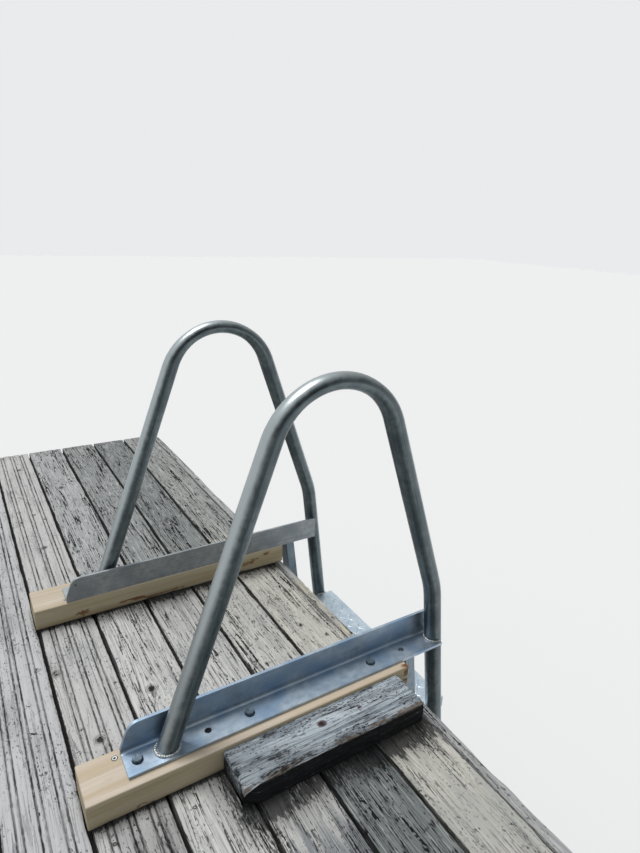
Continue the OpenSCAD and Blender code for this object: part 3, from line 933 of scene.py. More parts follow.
def makeBlock():
    low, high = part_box("loose_block")

    def fromEdge(points):
        return np.hypot(points[:, 1] - low.y, points[:, 2] - high.z)

    def wear(points, local, normal):
        depths, isTop = block["depths"], normal[:, 2] >= 0.5
        splits = np.abs(roughness(points, (0.22, 0.011, 0.011), 72) - 0.5)
        depth = depths["fine"] * roughness(points, (0.012, 0.006, 0.005), 71)
        depth += depths["sideSplits"] * smoothStep(splits, 0.035, 0.004) * ~isTop
        depth += depths["topSplits"] * smoothStep(splits, 0.02, 0.004) * isTop
        chipped = roughness(points, (0.03, 0.5, 0.5), 73) * roughness(points, (0.009, 0.009, 0.009), 74)
        depth += depths["edge"] * (0.4 + 1.2 * chipped) * smoothStep(fromEdge(points), block["wearWidth"], 0)
        broken = smoothStep(points[:, 0], low.x + 0.035, low.x)
        broken *= smoothStep(points[:, 1], low.y + 0.03, low.y)
        depth += depths["corner"] * broken * (0.4 + roughness(points, (0.008, 0.01, 0.008), 75))
        worn = smoothStep(np.abs(points[:, 1] - high.y), 0.014, 0.0) * roughness(points, (0.05, 1, 1), 80)
        return depth + depths["outerEdge"] * worn * (normal[:, 2] > 0.2)

    # Painted shade: how far a point lies down the sides below the top's edge
    def shadedSideShare(points):
        ragged = 0.006 * roughness(points, (0.02, 0.01, 0.01), 76)
        return smoothStep(high.z - points[:, 2], 0.002, 0.007 + ragged)

    def tone(points, normal):
        return mixTones(block["tone"], block["shadedSideTone"], shadedSideShare(points))

    def fresh(points, normal):
        band = smoothStep(np.abs(fromEdge(points) - 0.006), 0.009, 0.001)
        return band * smoothStep(roughness(points, (0.035, 0.01, 0.006), 77), 0.35, 0.6)

    def stainAndShade(points, normal):
        # Painted shade at the sides, and stain along three of the top's edges and in patches, most of all on
        # its inner half
        edge = np.minimum(points[:, 1] - low.y, np.minimum(high.y - points[:, 1], points[:, 0] - low.x))
        rim = smoothStep(edge, 0.020, 0.002)
        rim *= smoothStep(roughness(points, (0.035, 0.02, 0.02), 78), 0.3, 0.75)
        patch = smoothStep(roughness(points, (0.040, 0.012, 0.03), 79), 0.36, 0.80)
        patch *= 0.7 + 0.3 * smoothStep(points[:, 0], low.x + 0.30, low.x + 0.10)
        onTop = np.maximum(0.80 * patch, 0.9 * rim) * (normal[:, 2] > 0.3)
        return np.maximum(shadedSideShare(points), onTop)

    knots = [{"at": (x, y, high.z), "way": (0, 0, 1), "radius": radius} for x, y, radius in block["knots"]]
    timber = {"axis": 0, "section": roundedSection(high.y - low.y, high.z - low.z, 0.003, block["step"]),
              "rowStep": block["step"], "seed": 77, "endEase": 0.003, "heart": (0.02, -0.06), "knots": knots,
              "tone": tone, "wear": wear, "fresh": fresh, "stainAndShade": stainAndShade}
    makeTimber("old_block", ["loose_block"], [timberSolid(low, high, timber)], blockMaterial, 50)


makeBlock()
print("packers and block")


# Fine drawn lines along the piece, cloudy wear, dull spots and a few dark stains
def metal(name, look):
    made, tree, shader = newMaterial(name)
    isTube = look["way"] == "tube"
    if isTube:
        # The tube's surface, laid out from the attributes that its own node tree stores
        run, turn = (add(tree, "ShaderNodeAttribute", attribute_name=key).outputs["Fac"]
                     for key in ("run", "round"))
        angle = add(tree, "ShaderNodeMath", turn, 2 * math.pi, operation="MULTIPLY")
        ways = [add(tree, "ShaderNodeMath", angle, operation=way) for way in ("COSINE", "SINE")]
        ways = [add(tree, "ShaderNodeMath", way, ladder["tubeRadius"], operation="MULTIPLY") for way in ways]
        where = add(tree, "ShaderNodeCombineXYZ", *ways, run)
    else:
        where = add(tree, "ShaderNodeTexCoord").outputs["Object"]
    drawnWay = "z" if isTube else look["way"]
    drawn = [look["line"] * (look["drawn"] if axis == drawnWay else 1) for axis in "xyz"]
    lines = noiseAt(tree, where, drawn, 3.0)
    cloud = noiseAt(tree, where, (look["cloud"],) * 3, 4.0)
    broad = noiseAt(tree, where, (look["cloud"] * 4,) * 3)
    fine = noiseAt(tree, where, (look["spot"],) * 3)
    layers = [(look["worn"], 1.0, [(cloud, 0.35, 0.65)]), (*look["broad"], [(broad, 0.45, 0.65)]),
              (*look["lines"], [(lines, 0.50, 0.72)]),
              (look["spots"], 0.75, [(fine, 0.66, 0.72), (cloud, 0.45, 0.6)])]
    if isTube:
        # Painted reflection: the outside of the bend is painted lighter for the sky's reflection, and is
        # rubbed
        outer = add(tree, "ShaderNodeAttribute", attribute_name="outer").outputs["Fac"]
        outer = add(tree, "ShaderNodeMath", cloud, 0.3, outer, operation="MULTIPLY_ADD")
        layers.append((*look["sheenAndRub"], [(outer, 0.50, 1.02)]))
    colour = linear(look["base"])
    for code, share, rows in layers:
        colour = paint(tree, colour, [stepMask(tree, *rows), share], code)
    rough = add(tree, "ShaderNodeMath", cloud, look["rough"][1], look["rough"][0], operation="MULTIPLY_ADD")
    rough = add(tree, "ShaderNodeMath", lines, 0.12, rough, operation="MULTIPLY_ADD", use_clamp=True)
    bump = relief(tree, [(lines, look["depths"][0]), (cloud, look["depths"][1])])
    feed(tree, shader, {"Base Color": colour, "Metallic": 1.0, "Roughness": rough, "Normal": bump})
    return made


softening = {
    "joinWithin": 0.00002,
    "flatWithin": 0.5,        # degrees
    "sharpFrom": 35,
}


# The CAD node's own form, its triangles joined up again, with broken edges
def softenedNode(name, node, edge, material):
    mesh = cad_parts[node].data.copy()
    mesh.name = name
    made = newObject(name, mesh)
    cad = bmesh.new()
    cad.from_mesh(mesh)
    bmesh.ops.remove_doubles(cad, verts=cad.verts, dist=softening["joinWithin"])
    bmesh.ops.dissolve_limit(cad, angle_limit=math.radians(softening["flatWithin"]), verts=cad.verts,
                             edges=cad.edges)
    cad.to_mesh(mesh)
    cad.free()
    smoothFaces(mesh)
    bevel = made.modifiers.new("edges", "BEVEL")
    bevel.width = edge
    bevel.segments = 2
    bevel.limit_method = "ANGLE"
    bevel.angle_limit = math.radians(softening["sharpFrom"])
    # The flat faces keep their own normals, so that only the broken edges are shaded round
    made.modifiers.new("normals", "WEIGHTED_NORMAL").weight = 100
    freeze(made)
    finishPiece(made, [node], material)


brackets = {
    "edge": 0.0009,
    "way": "x", "drawn": 60, "line": 1.6, "cloud": 16, "spot": 2.6,   # sizes in millimetres
    # The blue in these colours is a painted reflection of the sky
    "base": "#a6b6c5", "worn": "#b9c7d3", "broad": ("#87a4c2", 0.65), "lines": ("#74879a", 0.35),
    "spots": "#5c6975", "rough": (0.30, 0.16), "depths": (0.035, 0.015),
}
# Cool and bright, its blue a painted reflection of the sky, with the rolling lines along it and duller clouds
angleMaterial = metal("satin mill-finish angle", brackets)
shadedBracket = dict(brackets, base="#949a9e", worn="#a6acb0", broad=("#828a90", 0.65), lines=("#666b6f", 0.35),
                   rough=(0.36, 0.16))
# Duller and warmer, on the outer bracket, its darker colours painted shade on the face turned from the light
shadedAngleMaterial = metal("dull angle painted darker as shade", shadedBracket)

uprights = {
    "edge": 0.0012,
    "way": "z", "drawn": 60, "line": 1.6, "cloud": 18, "spot": 3.0,
    "base": "#83909a", "worn": "#95a1aa", "broad": ("#6f7d88", 0.5), "lines": ("#5f6c76", 0.35),
    "spots": "#58636b", "rough": (0.30, 0.22), "depths": (0.10, 0.08),
}
# Darker than the brackets and uneven to the light
uprightMaterial = metal("drawn box section, dulled by the water", uprights)

rails = {
    "around": 40,
    "bendStep": 0.012,        # distance between rings in a bend
    "straightStep": 0.03,
    "bore": 0.060,            # depth of the open lower end that is modelled
    "flattening": 0.19,       # the tight bend at the crest has squeezed the tube by this share
    "footWithin": 0.010,      # the foot's ring lies this near to the flange's height
    "endWithin": 0.008,       # and the open end's ring this near to the tube's bottom
    "way": "tube", "drawn": 40, "line": 2.2, "cloud": 14, "spot": 3.0,
    "base": "#616c70", "worn": "#727c7f", "broad": ("#4f5b61", 0.6), "lines": ("#3d484d", 0.5),
    # The last colour paints the outside of the bends lighter: painted reflection of the sky, and rubbing
    "spots": "#384246", "sheenAndRub": ("#b3bbbd", 0.85), "rough": (0.20, 0.18), "depths": (0.08, 0.04),
}
# Dark satin grey with lines along it, and lighter lengths on the bends' outside: painted reflection and
# rubbing
tubeMaterial = metal("weathered drawn tube", rails)

steps = {
    "edge": 0.0012,
    "way": "y", "drawn": 30, "line": 2.0, "cloud": 12, "spot": 3.0,
    "base": "#c6d6e2", "worn": "#d8e4ec", "broad": ("#afc2d2", 0.5), "lines": ("#8c9dab", 0.25),
    "spots": "#7d8a95", "rough": (0.28, 0.16), "depths": (0.03, 0.02),
    "markSize": (0.013, 0.00275, 0.0009),   # half length, half width, height
    "markPitch": 0.022,
    "markMargins": (0.012, 0.016),          # left bare, across and along
}
# The brightest metal here, worn by feet
treadMaterial = metal("raised-pattern tread plate", steps)

for place, material in (("shore", angleMaterial), ("outer", shadedAngleMaterial)):
    softenedNode(f"bracket_{place}", f"ladder_bracket_{place}", brackets["edge"], material)
    softenedNode(f"upright_{place}", f"ladder_upright_{place}", uprights["edge"], uprightMaterial)
for number in range(1, 5):
    softenedNode(f"step_{number}", f"ladder_step_{number}", steps["edge"], treadMaterial)


# The tube's centre line in its own plane, X from the side of the deck and Z from its top
def railLine():
    upper, lower = ladder["upperLean"], ladder["lowerLean"]
    crestR, elbowR = ladder["crestRadius"], ladder["elbowRadius"]
    arcZ = ladder["crestHeight"] - crestR
    foot = Vector((-ladder["footIn"], flangeTop))
    topZ = arcZ + crestR * math.sin(upper)
    leftTop = Vector((foot.x + (topZ - foot.y) * math.tan(upper), topZ))
    crest = Vector((leftTop.x + crestR * math.cos(upper), arcZ))
    rightTop = Vector((crest.x + crestR * math.cos(upper), topZ))
    elbowTop = Vector((rightTop.x + (topZ - ladder["elbowHeight"]) * math.tan(upper), ladder["elbowHeight"]))
    elbow = Vector((elbowTop.x - elbowR * math.cos(upper), elbowTop.y - elbowR * math.sin(upper)))
    elbowLow = Vector((elbow.x + elbowR * math.cos(lower), elbow.y + elbowR * math.sin(lower)))
    end = Vector((elbowLow.x + (elbowLow.y + ladder["tubeBottom"]) * math.tan(lower), -ladder["tubeBottom"]))

    # Each place with the way that the bending has squeezed the tube, and the way to the outside of the bend
    def straight(first, last):
        count = max(1, round((last - first).length / rails["straightStep"]))
        way = (last - first).normalized()
        return [(first.lerp(last, i / count), Vector((0, 0)), Vector((-way.y, way.x))) for i in range(count)]

    def bend(centre, radius, start, stop, flattening):
        count = max(2, round(abs(stop - start) * radius / rails["bendStep"]))
        line = []
        for i in range(count):
            angle = start + (stop - start) * i / count
            out = Vector((math.cos(angle), math.sin(angle)))
            squeeze = flattening * min(1.0, 4 * min(i, count - i) / count)
            line.append((centre + radius * out, out * math.sqrt(squeeze), out))
        return line

    line = straight(foot, leftTop) + bend(crest, crestR, math.pi - upper, upper, rails["flattening"])
    line += straight(rightTop, elbowTop) + bend(elbow, elbowR, upper, lower, 0.0) + straight(elbowLow, end)
    return line + [(end, *line[-1][1:])]


# The plane that each rail lies in, and how much further out it stands
railSides = {"shore": (-railPlane, -ladder["railStagger"]), "outer": (railPlane, 0)}


def onRail(point, where):
    plane, shift = railSides[where]
    return Vector((side + point.x + shift, ladderY + plane, deckTop + point.y))


# A node tree whose inputs are named, and an object that it shapes
def newShapeTree(name, sockets):
    tree = bpy.data.node_groups.new(name, "GeometryNodeTree")
    for way, rows in (("INPUT", {"Geometry": "Geometry", **sockets}), ("OUTPUT", {"Geometry": "Geometry"})):
        for key, kind in rows.items():
            tree.interface.new_socket(key, in_out=way, socket_type=f"NodeSocket{kind}")
    return tree, add(tree, "NodeGroupInput").outputs


def endShapeTree(tree, start, geometry):
    geometry = add(tree, "GeometryNodeRealizeInstances", {"Geometry": geometry})
    geometry = add(tree, "GeometryNodeSetMaterial", {"Geometry": geometry, "Material": start["Material"]})
    tree.links.new(geometry.outputs[0], add(tree, "NodeGroupOutput").inputs[0])


def shaped(name, points, tree, values, attributes, edges=(), sharpAngle=35):
    mesh = newMesh(name, [tuple(point) for point in points], edges=edges)
    for key, rows in attributes.items():
        storeRows(mesh, key, rows)
    made = newObject(name, mesh)
    modifier = made.modifiers.new("shape", "NODES")
    modifier.node_group = tree
    for item in tree.interface.items_tree:
        if item.in_out == "INPUT" and item.name in values:
            modifier[item.identifier] = values[item.name]
    freeze(made)
    smoothFaces(made.data, sharpAngle)
    return made


def makeRailTree():
    tree, start = newShapeTree("bent tube", {"Radius": "Float", "Wall": "Float", "Foot Height": "Float",
                                             "End Height": "Float", "Lean": "Vector", "Material": "Material"})
    place = add(tree, "GeometryNodeInputPosition")
    parameter = add(tree, "GeometryNodeSplineParameter").outputs
    line = add(tree, "GeometryNodeMeshToCurve", {"Mesh": start["Geometry"]})
    for key, kind, value in (("run", "FLOAT", parameter["Length"]), ("centre", "FLOAT_VECTOR", place)):
        line = add(tree, "GeometryNodeStoreNamedAttribute", {"Geometry": line, "Name": key, "Value": value},
                   data_type=kind)
    ring = add(tree, "GeometryNodeCurvePrimitiveCircle", {
        "Resolution": rails["around"], "Radius": start["Radius"]})
    ring = add(tree, "GeometryNodeStoreNamedAttribute", {
        "Geometry": ring, "Name": "round", "Value": parameter["Factor"]})
    tube = add(tree, "GeometryNodeCurveToMesh", {"Curve": line, "Profile Curve": ring, "Fill Caps": True})
    # The tight bend has flattened the tube towards its own centre line
    centre, squeeze, outward = (
        add(tree, "GeometryNodeInputNamedAttribute", {"Name": key}, data_type="FLOAT_VECTOR")
        for key in ("centre", "squeeze", "outward"))
    away = add(tree, "ShaderNodeVectorMath", place, centre, operation="SUBTRACT")
    # The share towards the outside of the bend, where the tube's material paints its sheen
    outer = add(tree, "ShaderNodeVectorMath", away, outward, operation="DOT_PRODUCT")
    outer = add(tree, "ShaderNodeMath", outer, start["Radius"], operation="DIVIDE")
    tube = add(tree, "GeometryNodeStoreNamedAttribute", {"Geometry": tube, "Name": "outer", "Value": outer})
    away = add(tree, "ShaderNodeVectorMath", away, squeeze, operation="DOT_PRODUCT")
    away = add(tree, "ShaderNodeMath", away, -1.0, operation="MULTIPLY")
    flatten = add(tree, "ShaderNodeVectorMath", {0: squeeze, "Scale": away}, operation="SCALE")
    tube = add(tree, "GeometryNodeSetPosition", {"Geometry": tube, "Offset": flatten})
    # The foot is cut level: its ring slides along the tube to the flange's height
    apart = add(tree, "ShaderNodeSeparateXYZ", place).outputs
    above = add(tree, "ShaderNodeMath", apart["Z"], start["Foot Height"], operation="SUBTRACT")
    isFoot = add(tree, "ShaderNodeMath", above, operation="ABSOLUTE")
    isFoot = add(tree, "FunctionNodeCompare", {"A": isFoot, "B": rails["footWithin"]},
                 data_type="FLOAT", operation="LESS_THAN")
    inner = add(tree, "FunctionNodeCompare", {"A": apart["X"], "B": side - 0.3},
                data_type="FLOAT", operation="LESS_THAN")
    isFoot = add(tree, "FunctionNodeBooleanMath", isFoot, inner, operation="AND")
    slide = add(tree, "ShaderNodeMath", above, -1.0, operation="MULTIPLY")
    slide = add(tree, "ShaderNodeVectorMath", {0: start["Lean"], "Scale": slide}, operation="SCALE")
    tube = add(tree, "GeometryNodeSetPosition", {"Geometry": tube, "Selection": isFoot, "Offset": slide})
    # The lower end is open: its cap is set in by the wall and pushed up the bore
    below = add(tree, "FunctionNodeCompare", {"A": apart["Z"], "B": start["End Height"]},
                data_type="FLOAT", operation="LESS_THAN")
    inset = add(tree, "GeometryNodeExtrudeMesh", {"Mesh": tube, "Selection": below, "Offset Scale": 0.0})
    shrink = add(tree, "ShaderNodeMath", start["Wall"], start["Radius"], operation="DIVIDE")
    shrink = add(tree, "ShaderNodeMath", 1.0, shrink, operation="SUBTRACT")
    opened = add(tree, "GeometryNodeScaleElements", {
        "Geometry": inset.outputs["Mesh"], "Selection": inset.outputs["Top"], "Scale": shrink})
    opened = add(tree, "GeometryNodeExtrudeMesh", {
        "Mesh": opened, "Selection": below, "Offset Scale": -rails["bore"]})
    endShapeTree(tree, start, opened.outputs["Mesh"])
    return tree


def makeRails():
    tree = makeRailTree()
    line = railLine()
    for where in railSides:
        points = [onRail(point, where) for point, squeeze, out in line]
        lean = (points[1] - points[0]) / (points[1].z - points[0].z)
        values = {"Radius": ladder["tubeRadius"], "Wall": ladder["tubeWall"], "Foot Height": points[0].z,
                  "End Height": points[-1].z + rails["endWithin"], "Lean": lean, "Material": tubeMaterial}
        attributes = {"squeeze": [(squeeze.x, 0.0, squeeze.y) for point, squeeze, out in line],
                      "outward": [(out.x, 0.0, out.y) for point, squeeze, out in line]}
        edges = [(i, i + 1) for i in range(len(points) - 1)]
        made = shaped(f"rail_{where}", points, tree, values, attributes, edges)
        finishPiece(made, [f"ladder_rail_{where}"])


makeRails()
print("brackets, rails, uprights and steps")


# A closed solid from rings of points, each with its radii in turn round the ring and its height
def ringSolid(name, rings, corners, squash=1.0):
    points, faces = [], []
    for radii, z in rings:
        for i in range(corners):
            angle, radius = 2 * math.pi * i / corners, radii[i % len(radii)]
            points.append((radius * math.cos(angle), radius * squash * math.sin(angle), z))
    for start in range(0, (len(rings) - 1) * corners, corners):
        for i in range(corners):
            here, after = start + i, start + (i + 1) % corners
            faces.append((here, after, after + corners, here + corners))
    faces += [tuple(reversed(range(corners))), tuple(range(len(points) - corners, len(points)))]
    return bpy.data.objects.new(name, newMesh(name, points, faces))


def makePlacedTree():
    tree, start = newShapeTree("placed copies", {"Instance": "Object", "Material": "Material"})
    shape = add(tree, "GeometryNodeObjectInfo", {"Object": start["Instance"]})
    turn, size = (add(tree, "GeometryNodeInputNamedAttribute", {"Name": key}, data_type="FLOAT_VECTOR")
                  for key in ("turn", "size"))
    copies = add(tree, "GeometryNodeInstanceOnPoints", {
        "Points": start["Geometry"], "Instance": shape.outputs["Geometry"], "Rotation": turn, "Scale": size})
    endShapeTree(tree, start, copies.outputs["Instances"])
    return tree


placedTree = makePlacedTree()


# Copies of a small shape: each row has a place, turns about X, Y and Z, and a size
def placeCopies(name, shape, rows, material, sharpAngle=30):
    places, turns, sizes = zip(*rows)
    sizes = [size if isinstance(size, tuple) else (size,) * 3 for size in sizes]
    made = shaped(name, places, placedTree, {"Instance": shape, "Material": material},
                  {"turn": turns, "size": sizes}, sharpAngle=sharpAngle)
    bpy.data.objects.remove(shape)
    finishPiece(made, [])


flecks = {
    "base": "#141617",
    "pale": "#33332f",
    "mottle": 1.111,          # millimetres
}


def makeFleckMaterial():
    material, tree, shader = newMaterial("black for torn wood, grime and painted shade")
    where = add(tree, "ShaderNodeTexCoord").outputs["Object"]
    mottle = noiseAt(tree, where, (flecks["mottle"],) * 3)
    colour = paint(tree, linear(flecks["base"]), [mottle, 0.5], flecks["pale"])
    feed(tree, shader, {"Base Color": colour, "Roughness": 0.9})
    return material


# Mottled matt black, for torn fibres and grime, and as painted shade in holes, in recesses and round heads
fleckMaterial = makeFleckMaterial()

bolts = {
    "across": 0.016,          # M10 hex heads
    "height": 0.0064,
    "way": "z", "drawn": 4, "line": 1.2, "cloud": 5, "spot": 1.6,
    "base": "#66737f", "worn": "#8492a0", "broad": ("#4a5560", 0.6), "lines": ("#2e343a", 0.3),
    "spots": "#2a2723", "rough": (0.36, 0.2), "depths": (0.03, 0.04),
}
# Darker and duller than the angle that they hold
boltMaterial = metal("dull steel bolt", bolts)

screws = {
    "radius": 0.0048,
    "places": [(0.185, 4.306), (0.196, 4.818)],
    "turn": 0.4,
    "way": "z", "drawn": 4, "line": 1.0, "cloud": 4, "spot": 1.2,
    "base": "#b4b6b5", "worn": "#c8c9c7", "broad": ("#8f9190", 0.5), "lines": ("#6f706f", 0.3),
    "spots": "#4c4842", "rough": (0.30, 0.2), "depths": (0.02, 0.03),
}
# New and shining, in the pine
screwMaterial = metal("bright screw", screws)
deckScrews = dict(screws, radius=0.0036, rows=11, fromEdge=0.026, stray=(0.004, 0.006), sunk=0.0010,
                  base="#5b5a57", worn="#6d6b66", broad=("#4a4540", 0.6), lines=("#332f2b", 0.4),
                  spots="#4b3322", rough=(0.55, 0.2), depths=(0.04, 0.06))
# Rusty and nearly level with the worn wood
deckScrewMaterial = metal("old rusty deck screw", deckScrews)

# Black discs of grime and painted shade: radius, bottom, top, corners
discs = {
    "bolt_grime": (0.0100, -0.0004, 0.0003, 16),
    "drilled_holes": (0.0068, -0.001, 0.0004, 16),
    "screw_recesses": (screws["radius"] * 0.40, -screws["radius"] * 0.20, screws["radius"] * 0.02, 12),
    "screw_rims": (screws["radius"] * 1.17, -0.0006, 0.0002, 16),
}
openHole = 0.149              # from the bracket's end to its hole over the packer that has no bolt


def boltHead():
    flat, height = bolts["across"] / 2, bolts["height"]
    corner = flat / math.cos(math.pi / 6)
    rings = [((corner, flat), 0), ((corner, flat), height * 0.86), ((flat * 0.97,), height),
             ((flat * 0.55,), height), ((flat * 0.5,), height * 0.97)]
    return ringSolid("bolt head", rings, 12)


def screwHead(radius):
    rings = [((0.5,), -0.8), ((1,), 0), ((0.93,), 0.12), ((0.52, 0.42), 0.12), ((0.44, 0.34), -0.28)]
    rings = [([radius * share for share in radii], radius * z) for radii, z in rings]
    return ringSolid("screw head", rings, 12)


def placeDiscs(name, rows):
    radius, bottom, top, corners = discs[name]
    disc = ringSolid("disc", [((radius,), bottom), ((radius,), top)], corners)
    placeCopies(name, disc, rows, fleckMaterial)


def makeFixings():
    chance = np.random.default_rng(5)
    start, top = side + deckEnd, deckTop + flangeTop
    heads = [((start + place, ladderY + way * railPlane, top), (0, 0, chance.uniform(0, math.pi / 3)), 1.0)
             for way in (-1, 1) for place in ladder["boltPlaces"]]
    placeCopies("bracket_bolts", boltHead(), heads, boltMaterial, 25)
    # A black ring round each head: grime, and painted shadow under the head
    placeDiscs("bolt_grime", heads)
    # The packers are drilled below the open holes: black discs paint the shade inside
    holeShades = [((start + openHole, ladderY + way * railPlane, packerTop), (0, 0, 0), 1.0) for way in (-1, 1)]
    placeDiscs("drilled_holes", holeShades)
    rows = [((x, y, packerTop), (0, 0, screws["turn"]), 1.0) for x, y in screws["places"]]
    placeCopies("packer_screws", screwHead(screws["radius"]), rows, screwMaterial, 25)
    # Painted shade: black discs in each screw's recess and round its sunk edge
    placeDiscs("screw_recesses", rows)
    placeDiscs("screw_rims", rows)
    low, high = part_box("end_joist_shore")
    half, z = (high.y - low.y) / 2, deckTop - deckScrews["sunk"]
    across, along = deckScrews["stray"]
    rows = []
    for y in np.linspace(half, jettyEnd - half, deckScrews["rows"]):
        for number in range(1, 13):
            low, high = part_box(f"deck_board_{number:02d}")
            for x in (low.x + deckScrews["fromEdge"], high.x - deckScrews["fromEdge"]):
                place = [x + chance.uniform(-across, across), y + chance.uniform(-along, along), z]
                rows.append((place, (0, 0, chance.uniform(0, 3)), 1.0))
    placeCopies("deck_screws", screwHead(deckScrews["radius"]), rows, deckScrewMaterial, 25)


makeFixings()

welds = {
    "drop": 0.0042,           # half length of one drop of a bead
    "dropForm": ((0.45, -0.75), (0.85, -0.4), (1.0, 0.0), (0.85, 0.38), (0.5, 0.62), (0.2, 0.70)),
    "squash": 0.72,
    "pitch": 0.0052,
    "bow": 0.0004,            # a step's beads bend round the tube
    "outside": 0.0012,        # past the tube
    "offset": 0.0008,         # from a surface to the middle of its drops
    "roundFoot": 30,
    "roundLeg": 15,           # round the half of the outer leg that the flange's notch takes
    "jitter": 0.0003,
    "tilt": 0.15,             # radians
    "sizes": (0.85, 1.12),
    "way": "z", "drawn": 2, "line": 1.4, "cloud": 4, "spot": 1.4,
    "base": "#b9bdbe", "worn": "#cfd1cf", "broad": ("#979da0", 0.5), "lines": ("#6d7275", 0.3),
    "spots": "#4e5254", "rough": (0.34, 0.2), "depths": (0.10, 0.10),
}
# Pale and rippled where the aluminium was melted
weldMaterial = metal("pale weld bead", welds)


def weldDrops():
    # Each drop's place and the way that it was laid
    line = [row[0] for row in railLine()]
    radius, lean = ladder["tubeRadius"] + welds["outside"], math.tan(ladder["lowerLean"])
    stretch, lowStretch = (1 / math.cos(ladder[key]) for key in ("upperLean", "lowerLean"))
    drops = []
    for where, (plane, shift) in railSides.items():
        foot = onRail(line[0], where)
        for i in range(welds["roundFoot"]):
            angle = 2 * math.pi * i / welds["roundFoot"]
            place = (foot.x + radius * stretch * math.cos(angle), foot.y + radius * math.sin(angle))
            drops.append(((*place, foot.z + welds["offset"]), angle))
        leg = side + line[-1].x - (flangeTop + ladder["tubeBottom"]) * lean + shift
        for i in range(welds["roundLeg"]):
            angle = math.radians(90 + 180 * i / (welds["roundLeg"] - 1))
            x, y = leg + radius * lowStretch * math.cos(angle), ladderY + plane + radius * math.sin(angle)
            if x < side + ladder["bracketOut"] - 0.001:
                drops.append(((x, y, deckTop + flangeTop + welds["offset"]), angle))
    for low, high in stepBoxes:
        for way, y, shift in ((-1, low.y, railSides["shore"][1]), (1, high.y, 0)):
            for z in (high.z - 0.001, low.z + 0.002):
                middle = side + line[-1].x + shift - (z - deckTop + ladder["tubeBottom"]) * lean
                drops += [((middle + welds["pitch"] * i, y + way * welds["bow"] * i * i, z), math.pi / 2)
                          for i in range(-2, 3)]
            drops += [((low.x + 0.0005, y - way * welds["pitch"] * i, high.z - welds["offset"]), 0)
                      for i in range(6)]
    return drops


def makeWelds():
    chance = np.random.default_rng(9)
    rows = []
    jitter, tilt = welds["jitter"], welds["tilt"]
    for place, heading in weldDrops():
        shift = [chance.uniform(-jitter, jitter) for i in range(3)]
        turn = (chance.uniform(-tilt, tilt), chance.uniform(-tilt, tilt), heading + math.pi / 2)
        rows.append((tuple(Vector(place) + Vector(shift)), turn, chance.uniform(*welds["sizes"])))
    size = welds["drop"]
    rings = [((size * radius,), size * z) for radius, z in welds["dropForm"]]
    drop = ringSolid("weld drop", rings, 10, welds["squash"])
    placeCopies("weld_beads", drop, rows, weldMaterial, 60)


makeWelds()


def makeTreadMarks():
    pitch, margins, height = steps["markPitch"], steps["markMargins"], steps["markSize"][2]
    rings = [((1.0,), -0.0003 / height), ((1.0,), 0.0), ((0.82,), 0.75), ((0.5,), 1.0)]
    rows = []
    for low, high in stepBoxes:
        middle = (low + high) / 2
        across, along = int((high.x - low.x - margins[0]) / pitch), int((high.y - low.y - margins[1]) / pitch)
        for i in range(across):
            for j in range(along):
                x = middle.x + (i - (across - 1) / 2) * pitch
                y = middle.y + (j - (along - 1) / 2) * pitch
                turn = math.radians(45 if (i + j) % 2 else -45)
                rows.append(((x, y, high.z), (0, 0, turn), steps["markSize"]))
    placeCopies("tread_marks", ringSolid("tread mark", rings, 12), rows, treadMaterial, 40)


makeTreadMarks()

nicks = {
    "scatter": 170,
    "scatterSizes": (0.0018, 0.0050),
    "margins": (0.008, 0.05),                # bare along a board's sides and at the deck's ends
    "thickness": (0.0012, 0.0010, 0.002),    # seen, scattered and on the bracket
    # A torn, three-armed fleck
    "outline": [(1.0, 0.05), (0.42, 0.16), (0.30, 0.62), (0.12, 0.20), (-0.35, 0.24), (-1.0, 0.10),
                (-0.44, -0.06), (-0.62, -0.50), (-0.18, -0.20), (0.22, -0.34), (0.34, -0.10)],
    # Nicks that the photograph shows on the deck: X, Y, turn in degrees, size in millimetres
    "seen": [(0.301, 4.493, 15, 17), (0.279, 4.560, 60, 9), (0.136, 4.635, 30, 12), (0.105, 4.664, 70, 9),
             (0.076, 4.483, -35, 20), (0.061, 4.306, 80, 10), (0.155, 4.450, 20, 9), (0.180, 4.414, 65, 9),
             (0.679, 4.523, 40, 13), (0.714, 4.661, 10, 11), (0.717, 4.463, 50, 12), (0.525, 4.562, 35, 11),
             (0.546, 4.435, 75, 13), (0.459, 4.519, 20, 11), (0.563, 5.194, 40, 14), (0.586, 5.795, 10, 12),
             (0.640, 4.560, 65, 10), (0.660, 4.470, 25, 9), (0.600, 4.500, -30, 9), (0.310, 5.597, 0, 9)],
    # Dark marks on the outer bracket's face: X past the side of the deck, height above it, turn, size
    "onBracket": [(-0.560, 0.094, 60, 11), (-0.538, 0.096, 10, 4), (-0.528, 0.092, 50, 4)],
}


